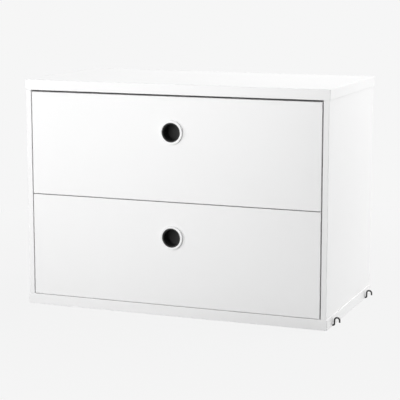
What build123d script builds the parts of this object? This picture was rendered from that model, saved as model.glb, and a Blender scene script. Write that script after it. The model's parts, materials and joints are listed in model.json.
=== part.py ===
"""Storage chest for compact discs: a lacquered cabinet with two drawers on ball runners.

Sizes are in millimetres. +Z is up, the drawers open towards -Y and X runs across the front.
The origin is the middle of the underside, so the cabinet stands on z = 0. Left and right are
as seen from the front. Four bent-wire hooks under the ends of the bottom board let the
cabinet hang between the rungs of two wall ladders.
"""

import os

from build123d import *

# ---- Cabinet: two boards lap over two thinner sides, with a grooved-in back ----
CABINET_WIDTH = 580.0
CABINET_DEPTH = 300.0
CABINET_HEIGHT = 420.0
BOARD_THICKNESS = 19.0
SIDE_THICKNESS = 10.0
SIDE_INSET = 1.5
SIDE_FRONT_INSET = 0.4
BACK_THICKNESS = 4.0
BACK_SETBACK = 5.0
GROOVE_DEPTH = 5.0
GROOVE_PLAY = 0.5
EDGE_RADIUS = 0.8

# ---- Fluteless wooden dowels, used in the carcass and in the drawer boxes ----
DOWEL_RADIUS = 3.0
DOWEL_LENGTH = 25.0
DOWEL_CHAMFER = 0.8
DOWEL_HOLE_PLAY = 0.5
CARCASS_DOWELS = 5
CARCASS_DOWEL_MARGIN = 30.0

# ---- Drawer fronts and the gaps round them ----
TOP_GAP = 3.0
MIDDLE_GAP = 1.5
BOTTOM_GAP = 0.9
SIDE_GAP = 2.0
FRONT_THICKNESS = 18.0

# ---- Drawer boxes ----
RUNNER_SPACE = 13.0
BOX_HEIGHT = 150.0
BOX_REAR_CLEARANCE = 23.0
BOX_LIFT = 12.0
BOX_WALL = 12.0
BOX_BOTTOM_THICKNESS = 6.0
BOX_BOTTOM_LIFT = 10.0
BOX_GROOVE_DEPTH = 5.0
BOX_GROOVE_PLAY = 0.4
BOX_TOP_RADIUS = 1.5
FRONT_DOWELS = 3
FRONT_DOWEL_MARGIN = 32.0
REAR_DOWELS = 2
REAR_DOWEL_MARGIN = 35.0
REAR_DOWEL_IN_SIDE = 8.0
BOTTOM_SCREWS = 4
BOTTOM_SCREW_MARGIN = 60.0

# ---- Ball runners: roll-formed sheet members with a ball cage between them ----
RUNNER_START = 1.0
RUNNER_REAR_SHORT = 1.0
RUNNER_LIFT = 55.0
SHEET = 1.2
BALL_RADIUS = 2.2
RACE_CLEARANCE = 0.3
BALL_DEPTH = 7.4
BALL_HEIGHT = 13.4
MEMBER_BEND = 2.0
OUTER_LIP_ANGLE = 5.0
INNER_LIP_ANGLE = 45.0
CAGE_SHEET = 0.6
CAGE_GAP = 0.3
CAGE_STRIP_DROP = 1.1
CAGE_BEND = 0.9
CAGE_STRIP_WIDTH = 7.5
CAGE_HOLE_RADIUS = 2.08
BALL_PITCH = 16.0
BALLS_PER_ROW = 4
CAGE_END = 10.0
STOP_GAP = 0.3
STOP_LENGTH = 2.0
STOP_HALF_HEIGHT = 4.0
REAR_STOP_HALF_HEIGHT = 6.0
REAR_STOP_SHORT = 0.4
CAGE_LUG_WIDTH = 2.4
CAGE_LUG_LENGTH = 2.4
RUNNER_SCREWS = 3
RUNNER_SCREW_MARGIN = 35.0

# ---- Finger pulls: a white ring in the front with a black cup behind it ----
PULL_DROP = 63.5
PULL_BORE_RADIUS = 19.3
RING_RADIUS = 21.3
RING_STAND = 4.0
RING_ROUND = 0.6
RING_SPIGOT = 12.0
CUP_RADIUS = 17.4
PULL_PLAY = 0.1
CUP_RECESS = 0.4
CUP_WALL = 1.1
CUP_LIP = 2.4
CUP_LIP_LENGTH = 3.2
CUP_UNDERCUT_LENGTH = 1.6
CUP_SHOULDER_GAP = 0.6
CUP_REAR_STAND = 6.0
CUP_FLOOR = 1.6
CUP_FLOOR_ROUND = 3.0
CUP_FLANGE_RADIUS = 27.0
CUP_FLANGE = 2.0
CUP_SCREWS = 3
CUP_SCREW_CIRCLE = 23.6

# ---- Hooks: bent wire with a welded lug, let into the underside of the bottom board ----
HOOK_WIRE_RADIUS = 1.5
HOOK_INSET = 38.0
HOOK_CLEAR = 1.5
HOOK_SINK = 0.3
HOOK_BEND = 2.5
HOOK_RISE = 9.0
HOOK_SPACING = 9.4
HOOK_TIP_LENGTH = 3.6
HOOK_TIP_ROUND = 0.5
HOOK_SHANK = 36.0
LUG_LENGTH = 16.0
LUG_WIDTH = 20.0
LUG_THICKNESS = 1.5
LUG_ROUND = 3.0
LUG_SCREW_OFFSET = 6.0
HOOK_POCKET_PLAY = 0.3

# ---- Screws ----
PAN_HEAD_RADIUS = 3.2
PAN_HEAD_HEIGHT = 1.5
PAN_HEAD_CHAMFER = 0.5
PAN_SHANK_RADIUS = 1.6
CABINET_SCREW_LENGTH = 8.5
DRAWER_SCREW_LENGTH = 10.0
CUP_SCREW_HEAD_RADIUS = 2.5
CUP_SCREW_RADIUS = 1.2
CUP_SCREW_LENGTH = 9.0
SUNK_HEAD_RADIUS = 2.8
SUNK_SHANK_RADIUS = 1.5
SUNK_SCREW_LENGTH = 12.0
BOTTOM_SCREW_LENGTH = 20.0
SCREW_POINT = 2.0
HOLE_PLAY = 0.1

# ---- Places worked out from the sizes above ----
FRONT_Y = -CABINET_DEPTH / 2
REAR_Y = CABINET_DEPTH / 2
END_X = CABINET_WIDTH / 2
SIDE_OUTER_X = END_X - SIDE_INSET
SIDE_INNER_X = SIDE_OUTER_X - SIDE_THICKNESS
SIDE_MIDDLE_X = SIDE_INNER_X + SIDE_THICKNESS / 2
FLOOR_Z = BOARD_THICKNESS
CEILING_Z = CABINET_HEIGHT - BOARD_THICKNESS
BACK_FRONT_Y = REAR_Y - BACK_SETBACK - BACK_THICKNESS
BACK_MIDDLE_Y = BACK_FRONT_Y + BACK_THICKNESS / 2

FRONT_HEIGHT = (CEILING_Z - FLOOR_Z - TOP_GAP - MIDDLE_GAP - BOTTOM_GAP) / 2
FRONT_HALF_WIDTH = SIDE_INNER_X - SIDE_GAP
FRONT_BACK_Y = FRONT_Y + FRONT_THICKNESS
LOWER_FRONT_Z = FLOOR_Z + BOTTOM_GAP
UPPER_FRONT_Z = LOWER_FRONT_Z + FRONT_HEIGHT + MIDDLE_GAP
DRAWERS = {"upper": UPPER_FRONT_Z, "lower": LOWER_FRONT_Z}
SIDES = {"left": -1, "right": 1}

BOX_OUTER_X = SIDE_INNER_X - RUNNER_SPACE
BOX_INNER_X = BOX_OUTER_X - BOX_WALL
BOX_REAR_Y = BACK_FRONT_Y - BOX_REAR_CLEARANCE
BOX_LENGTH = BOX_REAR_Y - FRONT_BACK_Y
BOX_BACK_FRONT_Y = BOX_REAR_Y - BOX_WALL
BOX_BACK_LIFT = BOX_BOTTOM_LIFT + BOX_BOTTOM_THICKNESS

RUNNER_Y = FRONT_BACK_Y + RUNNER_START
RUNNER_END_Y = BOX_REAR_Y - RUNNER_REAR_SHORT
RUNNER_LENGTH = RUNNER_END_Y - RUNNER_Y
RACE_RADIUS = BALL_RADIUS + RACE_CLEARANCE
RACE_MIDDLE = RACE_RADIUS + SHEET / 2
CAGE_STRIP_Z = BALL_HEIGHT - CAGE_STRIP_DROP
CAGE_WEB_DEPTH = SHEET + PAN_HEAD_HEIGHT + CAGE_GAP + CAGE_SHEET / 2
CAGE_LENGTH = (BALLS_PER_ROW - 1) * BALL_PITCH + 2 * CAGE_END
LUG_STOP_Y = RUNNER_END_Y - CAGE_LUG_LENGTH
TRAVEL = LUG_STOP_Y - RUNNER_Y - STOP_LENGTH - CAGE_LENGTH - 2 * STOP_GAP
CAGE_Y = RUNNER_Y + STOP_LENGTH + STOP_GAP + TRAVEL / 2

HOOK_X = END_X + HOOK_CLEAR + HOOK_WIRE_RADIUS
HOOK_SHANK_Z = HOOK_SINK + HOOK_WIRE_RADIUS
HOOK_YS = {"front": FRONT_Y + HOOK_INSET, "rear": REAR_Y - HOOK_INSET}
HOOK_START_X = END_X - HOOK_SHANK
LUG_X = HOOK_START_X + LUG_LENGTH / 2
LUG_TOP_Z = HOOK_SINK + LUG_THICKNESS


def spread(count, low, high):
    """Evenly spaced places from low to high, or their middle when there is only one."""
    if count == 1:
        return [(low + high) / 2]
    return [low + (high - low) * index / (count - 1) for index in range(count)]


def save(part, name):
    part.label = name
    export_step(part, f"parts/{name}.step")


def placed(master, planes):
    """Copies of one fastener, one on each plane, kept as separate solids."""
    with BuildPart() as group:
        with Locations(*[plane.location for plane in planes]):
            add(master)
    return group.part


# ---- Planes that several pieces share ----
def carcass_dowel_spots():
    ys = spread(CARCASS_DOWELS, FRONT_Y + CARCASS_DOWEL_MARGIN, REAR_Y - CARCASS_DOWEL_MARGIN)
    return [(side * SIDE_MIDDLE_X, y) for side in SIDES.values() for y in ys]


def front_dowel_spots(box_z):
    """Dowels between a drawer front and the front ends of its box sides, as (x, z)."""
    zs = spread(FRONT_DOWELS, box_z + FRONT_DOWEL_MARGIN, box_z + BOX_HEIGHT - FRONT_DOWEL_MARGIN)
    middle_x = BOX_INNER_X + BOX_WALL / 2
    return [(side * middle_x, z) for side in SIDES.values() for z in zs]


def rear_dowel_heights(box_z):
    low = box_z + BOX_BACK_LIFT + REAR_DOWEL_MARGIN
    return spread(REAR_DOWELS, low, box_z + BOX_HEIGHT - REAR_DOWEL_MARGIN)


def bottom_screw_planes(box_z):
    """Screws up through the drawer bottom into the lower edge of the box back."""
    xs = spread(BOTTOM_SCREWS, BOTTOM_SCREW_MARGIN - BOX_INNER_X, BOX_INNER_X - BOTTOM_SCREW_MARGIN)
    y = BOX_REAR_Y - BOX_WALL / 2
    return [Plane((x, y, box_z + BOX_BOTTOM_LIFT), z_dir=(0, 0, -1)) for x in xs]


def runner_screw_ys():
    return spread(RUNNER_SCREWS, RUNNER_Y + RUNNER_SCREW_MARGIN, RUNNER_END_Y - RUNNER_SCREW_MARGIN)


def cabinet_rail_screw_planes(side, runner_z):
    x = side * (SIDE_INNER_X - SHEET)
    return [Plane((x, y, runner_z), z_dir=(-side, 0, 0)) for y in runner_screw_ys()]


def drawer_rail_screw_planes(side, runner_z):
    x = side * (BOX_OUTER_X + SHEET)
    return [Plane((x, y, runner_z), z_dir=(side, 0, 0)) for y in runner_screw_ys()]


def cup_screw_planes(pull_z):
    centre = Plane((0, FRONT_BACK_Y + CUP_FLANGE, pull_z), x_dir=(0, 0, 1), z_dir=(0, 1, 0))
    with PolarLocations(CUP_SCREW_CIRCLE, CUP_SCREWS) as ring:
        spots = ring.local_locations
    return [Plane(centre.location * spot) for spot in spots]


def lug_screw_planes(side, hook_y):
    x = side * LUG_X
    ys = [hook_y - LUG_SCREW_OFFSET, hook_y + LUG_SCREW_OFFSET]
    return [Plane((x, y, HOOK_SINK), z_dir=(0, 0, -1)) for y in ys]


def runner_plane(side, runner_z, y):
    """Across a runner: local x runs from the cabinet side towards the drawer."""
    return Plane((side * SIDE_INNER_X, y, runner_z), x_dir=(-side, 0, 0), z_dir=(0, 1, 0))


# ---- Fasteners, each made once along -Z with its clamping face at z = 0 ----
def pan_screw(head_radius, shank_radius, length):
    with BuildPart() as screw:
        with BuildSketch(Plane.XZ):
            with BuildLine():
                Polyline(
                    (0, PAN_HEAD_HEIGHT),
                    (head_radius - PAN_HEAD_CHAMFER, PAN_HEAD_HEIGHT),
                    (head_radius, PAN_HEAD_HEIGHT - PAN_HEAD_CHAMFER),
                    (head_radius, 0),
                    (shank_radius, 0),
                    (shank_radius, SCREW_POINT - length),
                    (0, -length),
                    close=True,
                )
            make_face()
        revolve(axis=Axis.Z)
    return screw.part


def sunk_screw(length):
    """Countersunk screw: its flat head is level with z = 0."""
    neck = SUNK_HEAD_RADIUS - SUNK_SHANK_RADIUS
    with BuildPart() as screw:
        with BuildSketch(Plane.XZ):
            with BuildLine():
                Polyline(
                    (0, 0),
                    (SUNK_HEAD_RADIUS, 0),
                    (SUNK_SHANK_RADIUS, -neck),
                    (SUNK_SHANK_RADIUS, SCREW_POINT - length),
                    (0, -length),
                    close=True,
                )
            make_face()
        revolve(axis=Axis.Z)
    return screw.part


def dowel():
    """One dowel, centred on the origin along Z, with its ends bevelled."""
    with BuildPart() as pin:
        Cylinder(DOWEL_RADIUS, DOWEL_LENGTH)
        chamfer(pin.edges().filter_by(GeomType.CIRCLE), length=DOWEL_CHAMFER)
    return pin.part


# ---- Carcass ----
def carcass_board(bottom_z, inner_z, inward):
    """Top or bottom board. inward is +1 where the drawers are above it, -1 where below."""
    with BuildPart() as board:
        with BuildSketch(Plane.XY.offset(bottom_z)):
            Rectangle(CABINET_WIDTH, CABINET_DEPTH)
        extrude(amount=BOARD_THICKNESS)
        fillet(board.edges(), radius=EDGE_RADIUS)
        with BuildSketch(Plane.XY.offset(inner_z)):
            with Locations((0, BACK_MIDDLE_Y)):
                Rectangle(2 * (SIDE_INNER_X + GROOVE_DEPTH), BACK_THICKNESS)
        extrude(amount=-inward * GROOVE_DEPTH, mode=Mode.SUBTRACT)
        with BuildSketch(Plane.XY.offset(inner_z)):
            with Locations(*carcass_dowel_spots()):
                Circle(DOWEL_RADIUS)
        extrude(amount=-inward * (DOWEL_LENGTH / 2 + DOWEL_HOLE_PLAY), mode=Mode.SUBTRACT)
    return board.part


def top_panel():
    return carcass_board(CEILING_Z, CEILING_Z, -1)


def bottom_panel():
    """Bottom board, with a pocket and a groove in its underside for each hook."""
    with BuildPart() as board:
        add(carcass_board(0, FLOOR_Z, 1))
        spots = [(side, y) for side in SIDES.values() for y in HOOK_YS.values()]
        with BuildSketch():
            with Locations(*[(side * LUG_X, y) for side, y in spots]):
                pocket_length = LUG_LENGTH + 2 * HOOK_POCKET_PLAY
                pocket_width = LUG_WIDTH + 2 * HOOK_POCKET_PLAY
                RectangleRounded(pocket_length, pocket_width, LUG_ROUND + HOOK_POCKET_PLAY)
        extrude(amount=LUG_TOP_Z, mode=Mode.SUBTRACT)
        groove_start_x = HOOK_START_X - HOOK_POCKET_PLAY
        groove_middle_x = (groove_start_x + END_X) / 2
        with BuildSketch():
            with Locations(*[(side * groove_middle_x, y) for side, y in spots]):
                Rectangle(END_X - groove_start_x, 2 * (HOOK_WIRE_RADIUS + HOOK_POCKET_PLAY))
        extrude(amount=HOOK_SHANK_Z + HOOK_WIRE_RADIUS + HOOK_POCKET_PLAY, mode=Mode.SUBTRACT)
        for side, y in spots:
            for plane in lug_screw_planes(side, y):
                with Locations(plane.offset(-LUG_THICKNESS).location):
                    Hole(SUNK_SHANK_RADIUS, depth=SUNK_SCREW_LENGTH - LUG_THICKNESS)
    return board.part


def side_panel(side):
    """One side, with dowel holes in both ends, a groove for the back and runner screw holes."""
    front_y = FRONT_Y + SIDE_FRONT_INSET
    with BuildPart() as panel:
        with BuildSketch(Plane.XY.offset(FLOOR_Z)):
            with Locations((side * SIDE_MIDDLE_X, (front_y + REAR_Y) / 2)):
                Rectangle(SIDE_THICKNESS, REAR_Y - front_y)
        extrude(amount=CEILING_Z - FLOOR_Z)
        fillet(panel.edges().filter_by(Axis.Z), radius=EDGE_RADIUS)
        with BuildSketch(Plane.XY.offset(FLOOR_Z)):
            with Locations((side * (SIDE_INNER_X + GROOVE_DEPTH / 2), BACK_MIDDLE_Y)):
                Rectangle(GROOVE_DEPTH, BACK_THICKNESS)
        extrude(amount=CEILING_Z - FLOOR_Z, mode=Mode.SUBTRACT)
        spots = [spot for spot in carcass_dowel_spots() if spot[0] * side > 0]
        for z, into in ((FLOOR_Z, 1), (CEILING_Z, -1)):
            with BuildSketch(Plane.XY.offset(z)):
                with Locations(*spots):
                    Circle(DOWEL_RADIUS)
            extrude(amount=into * (DOWEL_LENGTH / 2 + DOWEL_HOLE_PLAY), mode=Mode.SUBTRACT)
        for front_z in DRAWERS.values():
            for plane in cabinet_rail_screw_planes(side, front_z + BOX_LIFT + RUNNER_LIFT):
                with Locations(plane.offset(-SHEET).location):
                    Hole(PAN_SHANK_RADIUS, depth=CABINET_SCREW_LENGTH - SHEET)
    return panel.part


def back_panel():
    reach = GROOVE_DEPTH - GROOVE_PLAY
    with BuildPart() as panel:
        with BuildSketch(Plane.XZ.offset(-BACK_FRONT_Y)):
            with Locations((0, (FLOOR_Z + CEILING_Z) / 2)):
                Rectangle(2 * (SIDE_INNER_X + reach), CEILING_Z - FLOOR_Z + 2 * reach)
        extrude(amount=-BACK_THICKNESS)
    return panel.part


def carcass_dowels():
    planes = [Plane((x, y, z)) for x, y in carcass_dowel_spots() for z in (FLOOR_Z, CEILING_Z)]
    return placed(dowel(), planes)


# ---- Hooks ----
def hook(side, hook_y):
    """Wire that leaves the underside, turns up past the board and bends over outwards."""
    with BuildPart() as bent:
        with BuildLine(Plane.XZ.offset(-hook_y)) as route:
            shank = Line((HOOK_START_X, HOOK_SHANK_Z), (HOOK_X - HOOK_BEND, HOOK_SHANK_Z))
            turn_up = JernArc(start=shank @ 1, tangent=shank % 1, radius=HOOK_BEND, arc_size=90)
            leg = Line(turn_up @ 1, turn_up @ 1 + Vector(0, 0, HOOK_RISE - HOOK_BEND))
            over = JernArc(start=leg @ 1, tangent=leg % 1, radius=HOOK_SPACING / 2, arc_size=-180)
            Line(over @ 1, over @ 1 - Vector(0, 0, HOOK_TIP_LENGTH))
        with BuildSketch(Plane(shank @ 0, z_dir=shank % 0)):
            Circle(HOOK_WIRE_RADIUS)
        sweep(path=route.wire())
        tip = bent.faces().filter_by(Axis.Z).sort_by(Axis.X)[-1]
        fillet(tip.edges(), radius=HOOK_TIP_ROUND)
        with BuildSketch(Plane.XY.offset(HOOK_SINK)):
            with Locations((LUG_X, hook_y)):
                RectangleRounded(LUG_LENGTH, LUG_WIDTH, LUG_ROUND)
        extrude(amount=LUG_THICKNESS)
        with Locations(*[plane.location for plane in lug_screw_planes(1, hook_y)]):
            CounterSinkHole(SUNK_SHANK_RADIUS + HOLE_PLAY, SUNK_HEAD_RADIUS + HOLE_PLAY, LUG_THICKNESS)
    if side > 0:
        return bent.part
    with BuildPart() as mirrored:
        mirror(bent.part, about=Plane.YZ)
    return mirrored.part


def hook_screws():
    planes = []
    for side in SIDES.values():
        for hook_y in HOOK_YS.values():
            planes += lug_screw_planes(side, hook_y)
    return placed(sunk_screw(SUNK_SCREW_LENGTH), planes)


# ---- Ball runners ----
def cabinet_rail(side, runner_z):
    """Outer member: a channel whose two rims curl over the balls, with its two stops."""
    race_z = BALL_HEIGHT + RACE_MIDDLE
    web = SHEET / 2
    bend_x = web + MEMBER_BEND
    bend_z = race_z - MEMBER_BEND
    length = RUNNER_LENGTH + STOP_GAP + SHEET
    with BuildPart() as rail:
        with BuildSketch(runner_plane(side, runner_z, RUNNER_Y)):
            with BuildLine():
                CenterArc((BALL_DEPTH, BALL_HEIGHT), RACE_MIDDLE, -OUTER_LIP_ANGLE, 90 + OUTER_LIP_ANGLE)
                Line((BALL_DEPTH, race_z), (bend_x, race_z))
                CenterArc((bend_x, bend_z), MEMBER_BEND, 90, 90)
                Line((web, bend_z), (web, -bend_z))
                CenterArc((bend_x, -bend_z), MEMBER_BEND, 180, 90)
                Line((bend_x, -race_z), (BALL_DEPTH, -race_z))
                CenterArc((BALL_DEPTH, -BALL_HEIGHT), RACE_MIDDLE, -90, 90 + OUTER_LIP_ANGLE)
            trace(line_width=SHEET)
        extrude(amount=length)
        stop_reach = CAGE_WEB_DEPTH + CAGE_SHEET / 2
        with BuildSketch(runner_plane(side, runner_z, RUNNER_Y)):
            with Locations((stop_reach / 2, 0)):
                Rectangle(stop_reach, 2 * STOP_HALF_HEIGHT)
        extrude(amount=STOP_LENGTH)
        rear_reach = RUNNER_SPACE - REAR_STOP_SHORT
        with BuildSketch(runner_plane(side, runner_z, RUNNER_END_Y + STOP_GAP)):
            with Locations((rear_reach / 2, 0)):
                Rectangle(rear_reach, 2 * REAR_STOP_HALF_HEIGHT)
        extrude(amount=SHEET)
        with Locations(*[plane.location for plane in cabinet_rail_screw_planes(side, runner_z)]):
            Hole(PAN_SHANK_RADIUS + HOLE_PLAY, depth=SHEET)
    return rail.part


def drawer_rail(side, runner_z):
    """Inner member: a narrower channel that cradles the balls from below and above."""
    race_z = BALL_HEIGHT - RACE_MIDDLE
    web = RUNNER_SPACE - SHEET / 2
    bend_x = web - MEMBER_BEND
    bend_z = race_z - MEMBER_BEND
    with BuildPart() as rail:
        with BuildSketch(runner_plane(side, runner_z, RUNNER_Y)):
            with BuildLine():
                CenterArc((BALL_DEPTH, BALL_HEIGHT), RACE_MIDDLE, -90 - INNER_LIP_ANGLE, INNER_LIP_ANGLE)
                Line((BALL_DEPTH, race_z), (bend_x, race_z))
                CenterArc((bend_x, bend_z), MEMBER_BEND, 0, 90)
                Line((web, bend_z), (web, -bend_z))
                CenterArc((bend_x, -bend_z), MEMBER_BEND, -90, 90)
                Line((bend_x, -race_z), (BALL_DEPTH, -race_z))
                CenterArc((BALL_DEPTH, -BALL_HEIGHT), RACE_MIDDLE, 90, INNER_LIP_ANGLE)
            trace(line_width=SHEET)
        extrude(amount=RUNNER_LENGTH)
        lug_top = CAGE_STRIP_Z + CAGE_SHEET / 2
        with BuildSketch(runner_plane(side, runner_z, LUG_STOP_Y)):
            with Locations((BALL_DEPTH, (race_z + lug_top) / 2), (BALL_DEPTH, -(race_z + lug_top) / 2)):
                Rectangle(CAGE_LUG_WIDTH, lug_top - race_z)
        extrude(amount=RUNNER_END_Y - LUG_STOP_Y)
        with Locations(*[plane.location for plane in drawer_rail_screw_planes(side, runner_z)]):
            Hole(PAN_SHANK_RADIUS + HOLE_PLAY, depth=SHEET)
    return rail.part


def ball_spots(side):
    """Ball centres seen from above, as (x, y)."""
    x = side * (SIDE_INNER_X - BALL_DEPTH)
    return [(x, CAGE_Y + CAGE_END + index * BALL_PITCH) for index in range(BALLS_PER_ROW)]


def ball_cage(side, runner_z):
    """Thin bent strip with one hole for each ball, smaller than the ball itself."""
    strip_end = CAGE_WEB_DEPTH + CAGE_STRIP_WIDTH
    with BuildPart() as cage:
        with BuildSketch(runner_plane(side, runner_z, CAGE_Y)):
            with BuildLine():
                FilletPolyline(
                    (strip_end, CAGE_STRIP_Z),
                    (CAGE_WEB_DEPTH, CAGE_STRIP_Z),
                    (CAGE_WEB_DEPTH, -CAGE_STRIP_Z),
                    (strip_end, -CAGE_STRIP_Z),
                    radius=CAGE_BEND,
                )
            trace(line_width=CAGE_SHEET)
        extrude(amount=CAGE_LENGTH)
        with BuildSketch(Plane.XY.offset(runner_z)):
            with Locations(*ball_spots(side)):
                Circle(CAGE_HOLE_RADIUS)
        extrude(amount=BALL_HEIGHT, both=True, mode=Mode.SUBTRACT)
    return cage.part


def balls(side, runner_z):
    with BuildPart() as group:
        for z in (runner_z - BALL_HEIGHT, runner_z + BALL_HEIGHT):
            with Locations(*[(x, y, z) for x, y in ball_spots(side)]):
                Sphere(BALL_RADIUS)
    return group.part


def cabinet_rail_screws():
    planes = []
    for side in SIDES.values():
        for front_z in DRAWERS.values():
            planes += cabinet_rail_screw_planes(side, front_z + BOX_LIFT + RUNNER_LIFT)
    return placed(pan_screw(PAN_HEAD_RADIUS, PAN_SHANK_RADIUS, CABINET_SCREW_LENGTH), planes)


def drawer_rail_screws(runner_z):
    planes = []
    for side in SIDES.values():
        planes += drawer_rail_screw_planes(side, runner_z)
    return placed(pan_screw(PAN_HEAD_RADIUS, PAN_SHANK_RADIUS, DRAWER_SCREW_LENGTH), planes)


# ---- Drawers ----
def drawer_front(front_z, box_z, pull_z):
    with BuildPart() as front:
        with BuildSketch(Plane.XZ.offset(-FRONT_Y)):
            with Locations((0, front_z + FRONT_HEIGHT / 2)):
                Rectangle(2 * FRONT_HALF_WIDTH, FRONT_HEIGHT)
        extrude(amount=-FRONT_THICKNESS)
        fillet(front.edges(), radius=EDGE_RADIUS)
        with BuildSketch(Plane.XZ.offset(-FRONT_Y)):
            with Locations((0, pull_z)):
                Circle(PULL_BORE_RADIUS)
        extrude(amount=-FRONT_THICKNESS, mode=Mode.SUBTRACT)
        with BuildSketch(Plane.XZ.offset(-FRONT_BACK_Y)):
            with Locations((0, box_z + BOX_BOTTOM_LIFT + BOX_BOTTOM_THICKNESS / 2)):
                Rectangle(2 * (BOX_INNER_X + BOX_GROOVE_DEPTH), BOX_BOTTOM_THICKNESS)
        extrude(amount=BOX_GROOVE_DEPTH, mode=Mode.SUBTRACT)
        with BuildSketch(Plane.XZ.offset(-FRONT_BACK_Y)):
            with Locations(*front_dowel_spots(box_z)):
                Circle(DOWEL_RADIUS)
        extrude(amount=DOWEL_LENGTH / 2 + DOWEL_HOLE_PLAY, mode=Mode.SUBTRACT)
        with Locations(*[plane.offset(-CUP_FLANGE).location for plane in cup_screw_planes(pull_z)]):
            Hole(CUP_SCREW_RADIUS, depth=CUP_SCREW_LENGTH - CUP_FLANGE)
    return front.part


def box_side(side, box_z, runner_z):
    middle_x = side * (BOX_INNER_X + BOX_WALL / 2)
    with BuildPart() as wall:
        with BuildSketch(Plane.XZ.offset(-FRONT_BACK_Y)):
            with Locations((middle_x, box_z + BOX_HEIGHT / 2)):
                Rectangle(BOX_WALL, BOX_HEIGHT)
        extrude(amount=-BOX_LENGTH)
        top_edges = wall.edges().filter_by(Axis.Y).group_by(Axis.Z)[-1]
        fillet(top_edges, radius=BOX_TOP_RADIUS)
        with BuildSketch(Plane.XZ.offset(-FRONT_BACK_Y)):
            groove_x = side * (BOX_INNER_X + BOX_GROOVE_DEPTH / 2)
            with Locations((groove_x, box_z + BOX_BOTTOM_LIFT + BOX_BOTTOM_THICKNESS / 2)):
                Rectangle(BOX_GROOVE_DEPTH, BOX_BOTTOM_THICKNESS)
        extrude(amount=-BOX_LENGTH, mode=Mode.SUBTRACT)
        with BuildSketch(Plane.XZ.offset(-FRONT_BACK_Y)):
            with Locations(*[spot for spot in front_dowel_spots(box_z) if spot[0] * side > 0]):
                Circle(DOWEL_RADIUS)
        extrude(amount=-(DOWEL_LENGTH / 2 + DOWEL_HOLE_PLAY), mode=Mode.SUBTRACT)
        for z in rear_dowel_heights(box_z):
            inner_face = Plane((side * BOX_INNER_X, BOX_REAR_Y - BOX_WALL / 2, z), z_dir=(-side, 0, 0))
            with Locations(inner_face.location):
                Hole(DOWEL_RADIUS, depth=REAR_DOWEL_IN_SIDE + DOWEL_HOLE_PLAY)
        for plane in drawer_rail_screw_planes(side, runner_z):
            with Locations(plane.offset(-SHEET).location):
                Hole(PAN_SHANK_RADIUS, depth=DRAWER_SCREW_LENGTH - SHEET)
    return wall.part


def box_back(box_z):
    """Rear wall between the box sides, standing on the drawer bottom."""
    height = BOX_HEIGHT - BOX_BACK_LIFT
    with BuildPart() as wall:
        with BuildSketch(Plane.XZ.offset(-BOX_BACK_FRONT_Y)):
            with Locations((0, box_z + BOX_BACK_LIFT + height / 2)):
                Rectangle(2 * BOX_INNER_X, height)
        extrude(amount=-BOX_WALL)
        top_edges = wall.edges().filter_by(Axis.X).group_by(Axis.Z)[-1]
        fillet(top_edges, radius=BOX_TOP_RADIUS)
        for side in SIDES.values():
            for z in rear_dowel_heights(box_z):
                end = Plane((side * BOX_INNER_X, BOX_REAR_Y - BOX_WALL / 2, z), z_dir=(side, 0, 0))
                with Locations(end.location):
                    Hole(DOWEL_RADIUS, depth=DOWEL_LENGTH - REAR_DOWEL_IN_SIDE + DOWEL_HOLE_PLAY)
        for plane in bottom_screw_planes(box_z):
            with Locations(plane.offset(-BOX_BOTTOM_THICKNESS).location):
                Hole(SUNK_SHANK_RADIUS, depth=BOTTOM_SCREW_LENGTH - BOX_BOTTOM_THICKNESS)
    return wall.part


def box_bottom(box_z):
    reach = BOX_GROOVE_DEPTH - BOX_GROOVE_PLAY
    front_y = FRONT_BACK_Y - reach
    with BuildPart() as sheet:
        with BuildSketch(Plane.XY.offset(box_z + BOX_BOTTOM_LIFT)):
            with Locations((0, (front_y + BOX_REAR_Y) / 2)):
                Rectangle(2 * (BOX_INNER_X + reach), BOX_REAR_Y - front_y)
        extrude(amount=BOX_BOTTOM_THICKNESS)
        with Locations(*[plane.location for plane in bottom_screw_planes(box_z)]):
            CounterSinkHole(
                SUNK_SHANK_RADIUS + HOLE_PLAY, SUNK_HEAD_RADIUS + HOLE_PLAY, BOX_BOTTOM_THICKNESS
            )
    return sheet.part


def box_dowels(box_z):
    planes = [Plane((x, FRONT_BACK_Y, z), z_dir=(0, 1, 0)) for x, z in front_dowel_spots(box_z)]
    rear_x = BOX_INNER_X + REAR_DOWEL_IN_SIDE - DOWEL_LENGTH / 2
    for side in SIDES.values():
        for z in rear_dowel_heights(box_z):
            planes.append(Plane((side * rear_x, BOX_REAR_Y - BOX_WALL / 2, z), z_dir=(1, 0, 0)))
    return placed(dowel(), planes)


def pull_ring(pull_z):
    """White ring: a rounded flange that stands proud, and a spigot in the front's bore."""
    bore = CUP_RADIUS + PULL_PLAY
    spigot = PULL_BORE_RADIUS - PULL_PLAY
    with BuildPart() as ring:
        with BuildSketch(Plane((0, FRONT_Y, pull_z), x_dir=(1, 0, 0), z_dir=(0, 0, 1))) as section:
            with BuildLine():
                Polyline(
                    (bore, -RING_STAND),
                    (RING_RADIUS, -RING_STAND),
                    (RING_RADIUS, 0),
                    (spigot, 0),
                    (spigot, RING_SPIGOT),
                    (bore, RING_SPIGOT),
                    close=True,
                )
            make_face()
            rim = section.vertices().group_by(Axis.Y)[0].sort_by(Axis.X)
            fillet(rim[-1], radius=RING_ROUND)
        revolve(axis=Axis((0, FRONT_Y, pull_z), (0, 1, 0)))
    return ring.part


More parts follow.
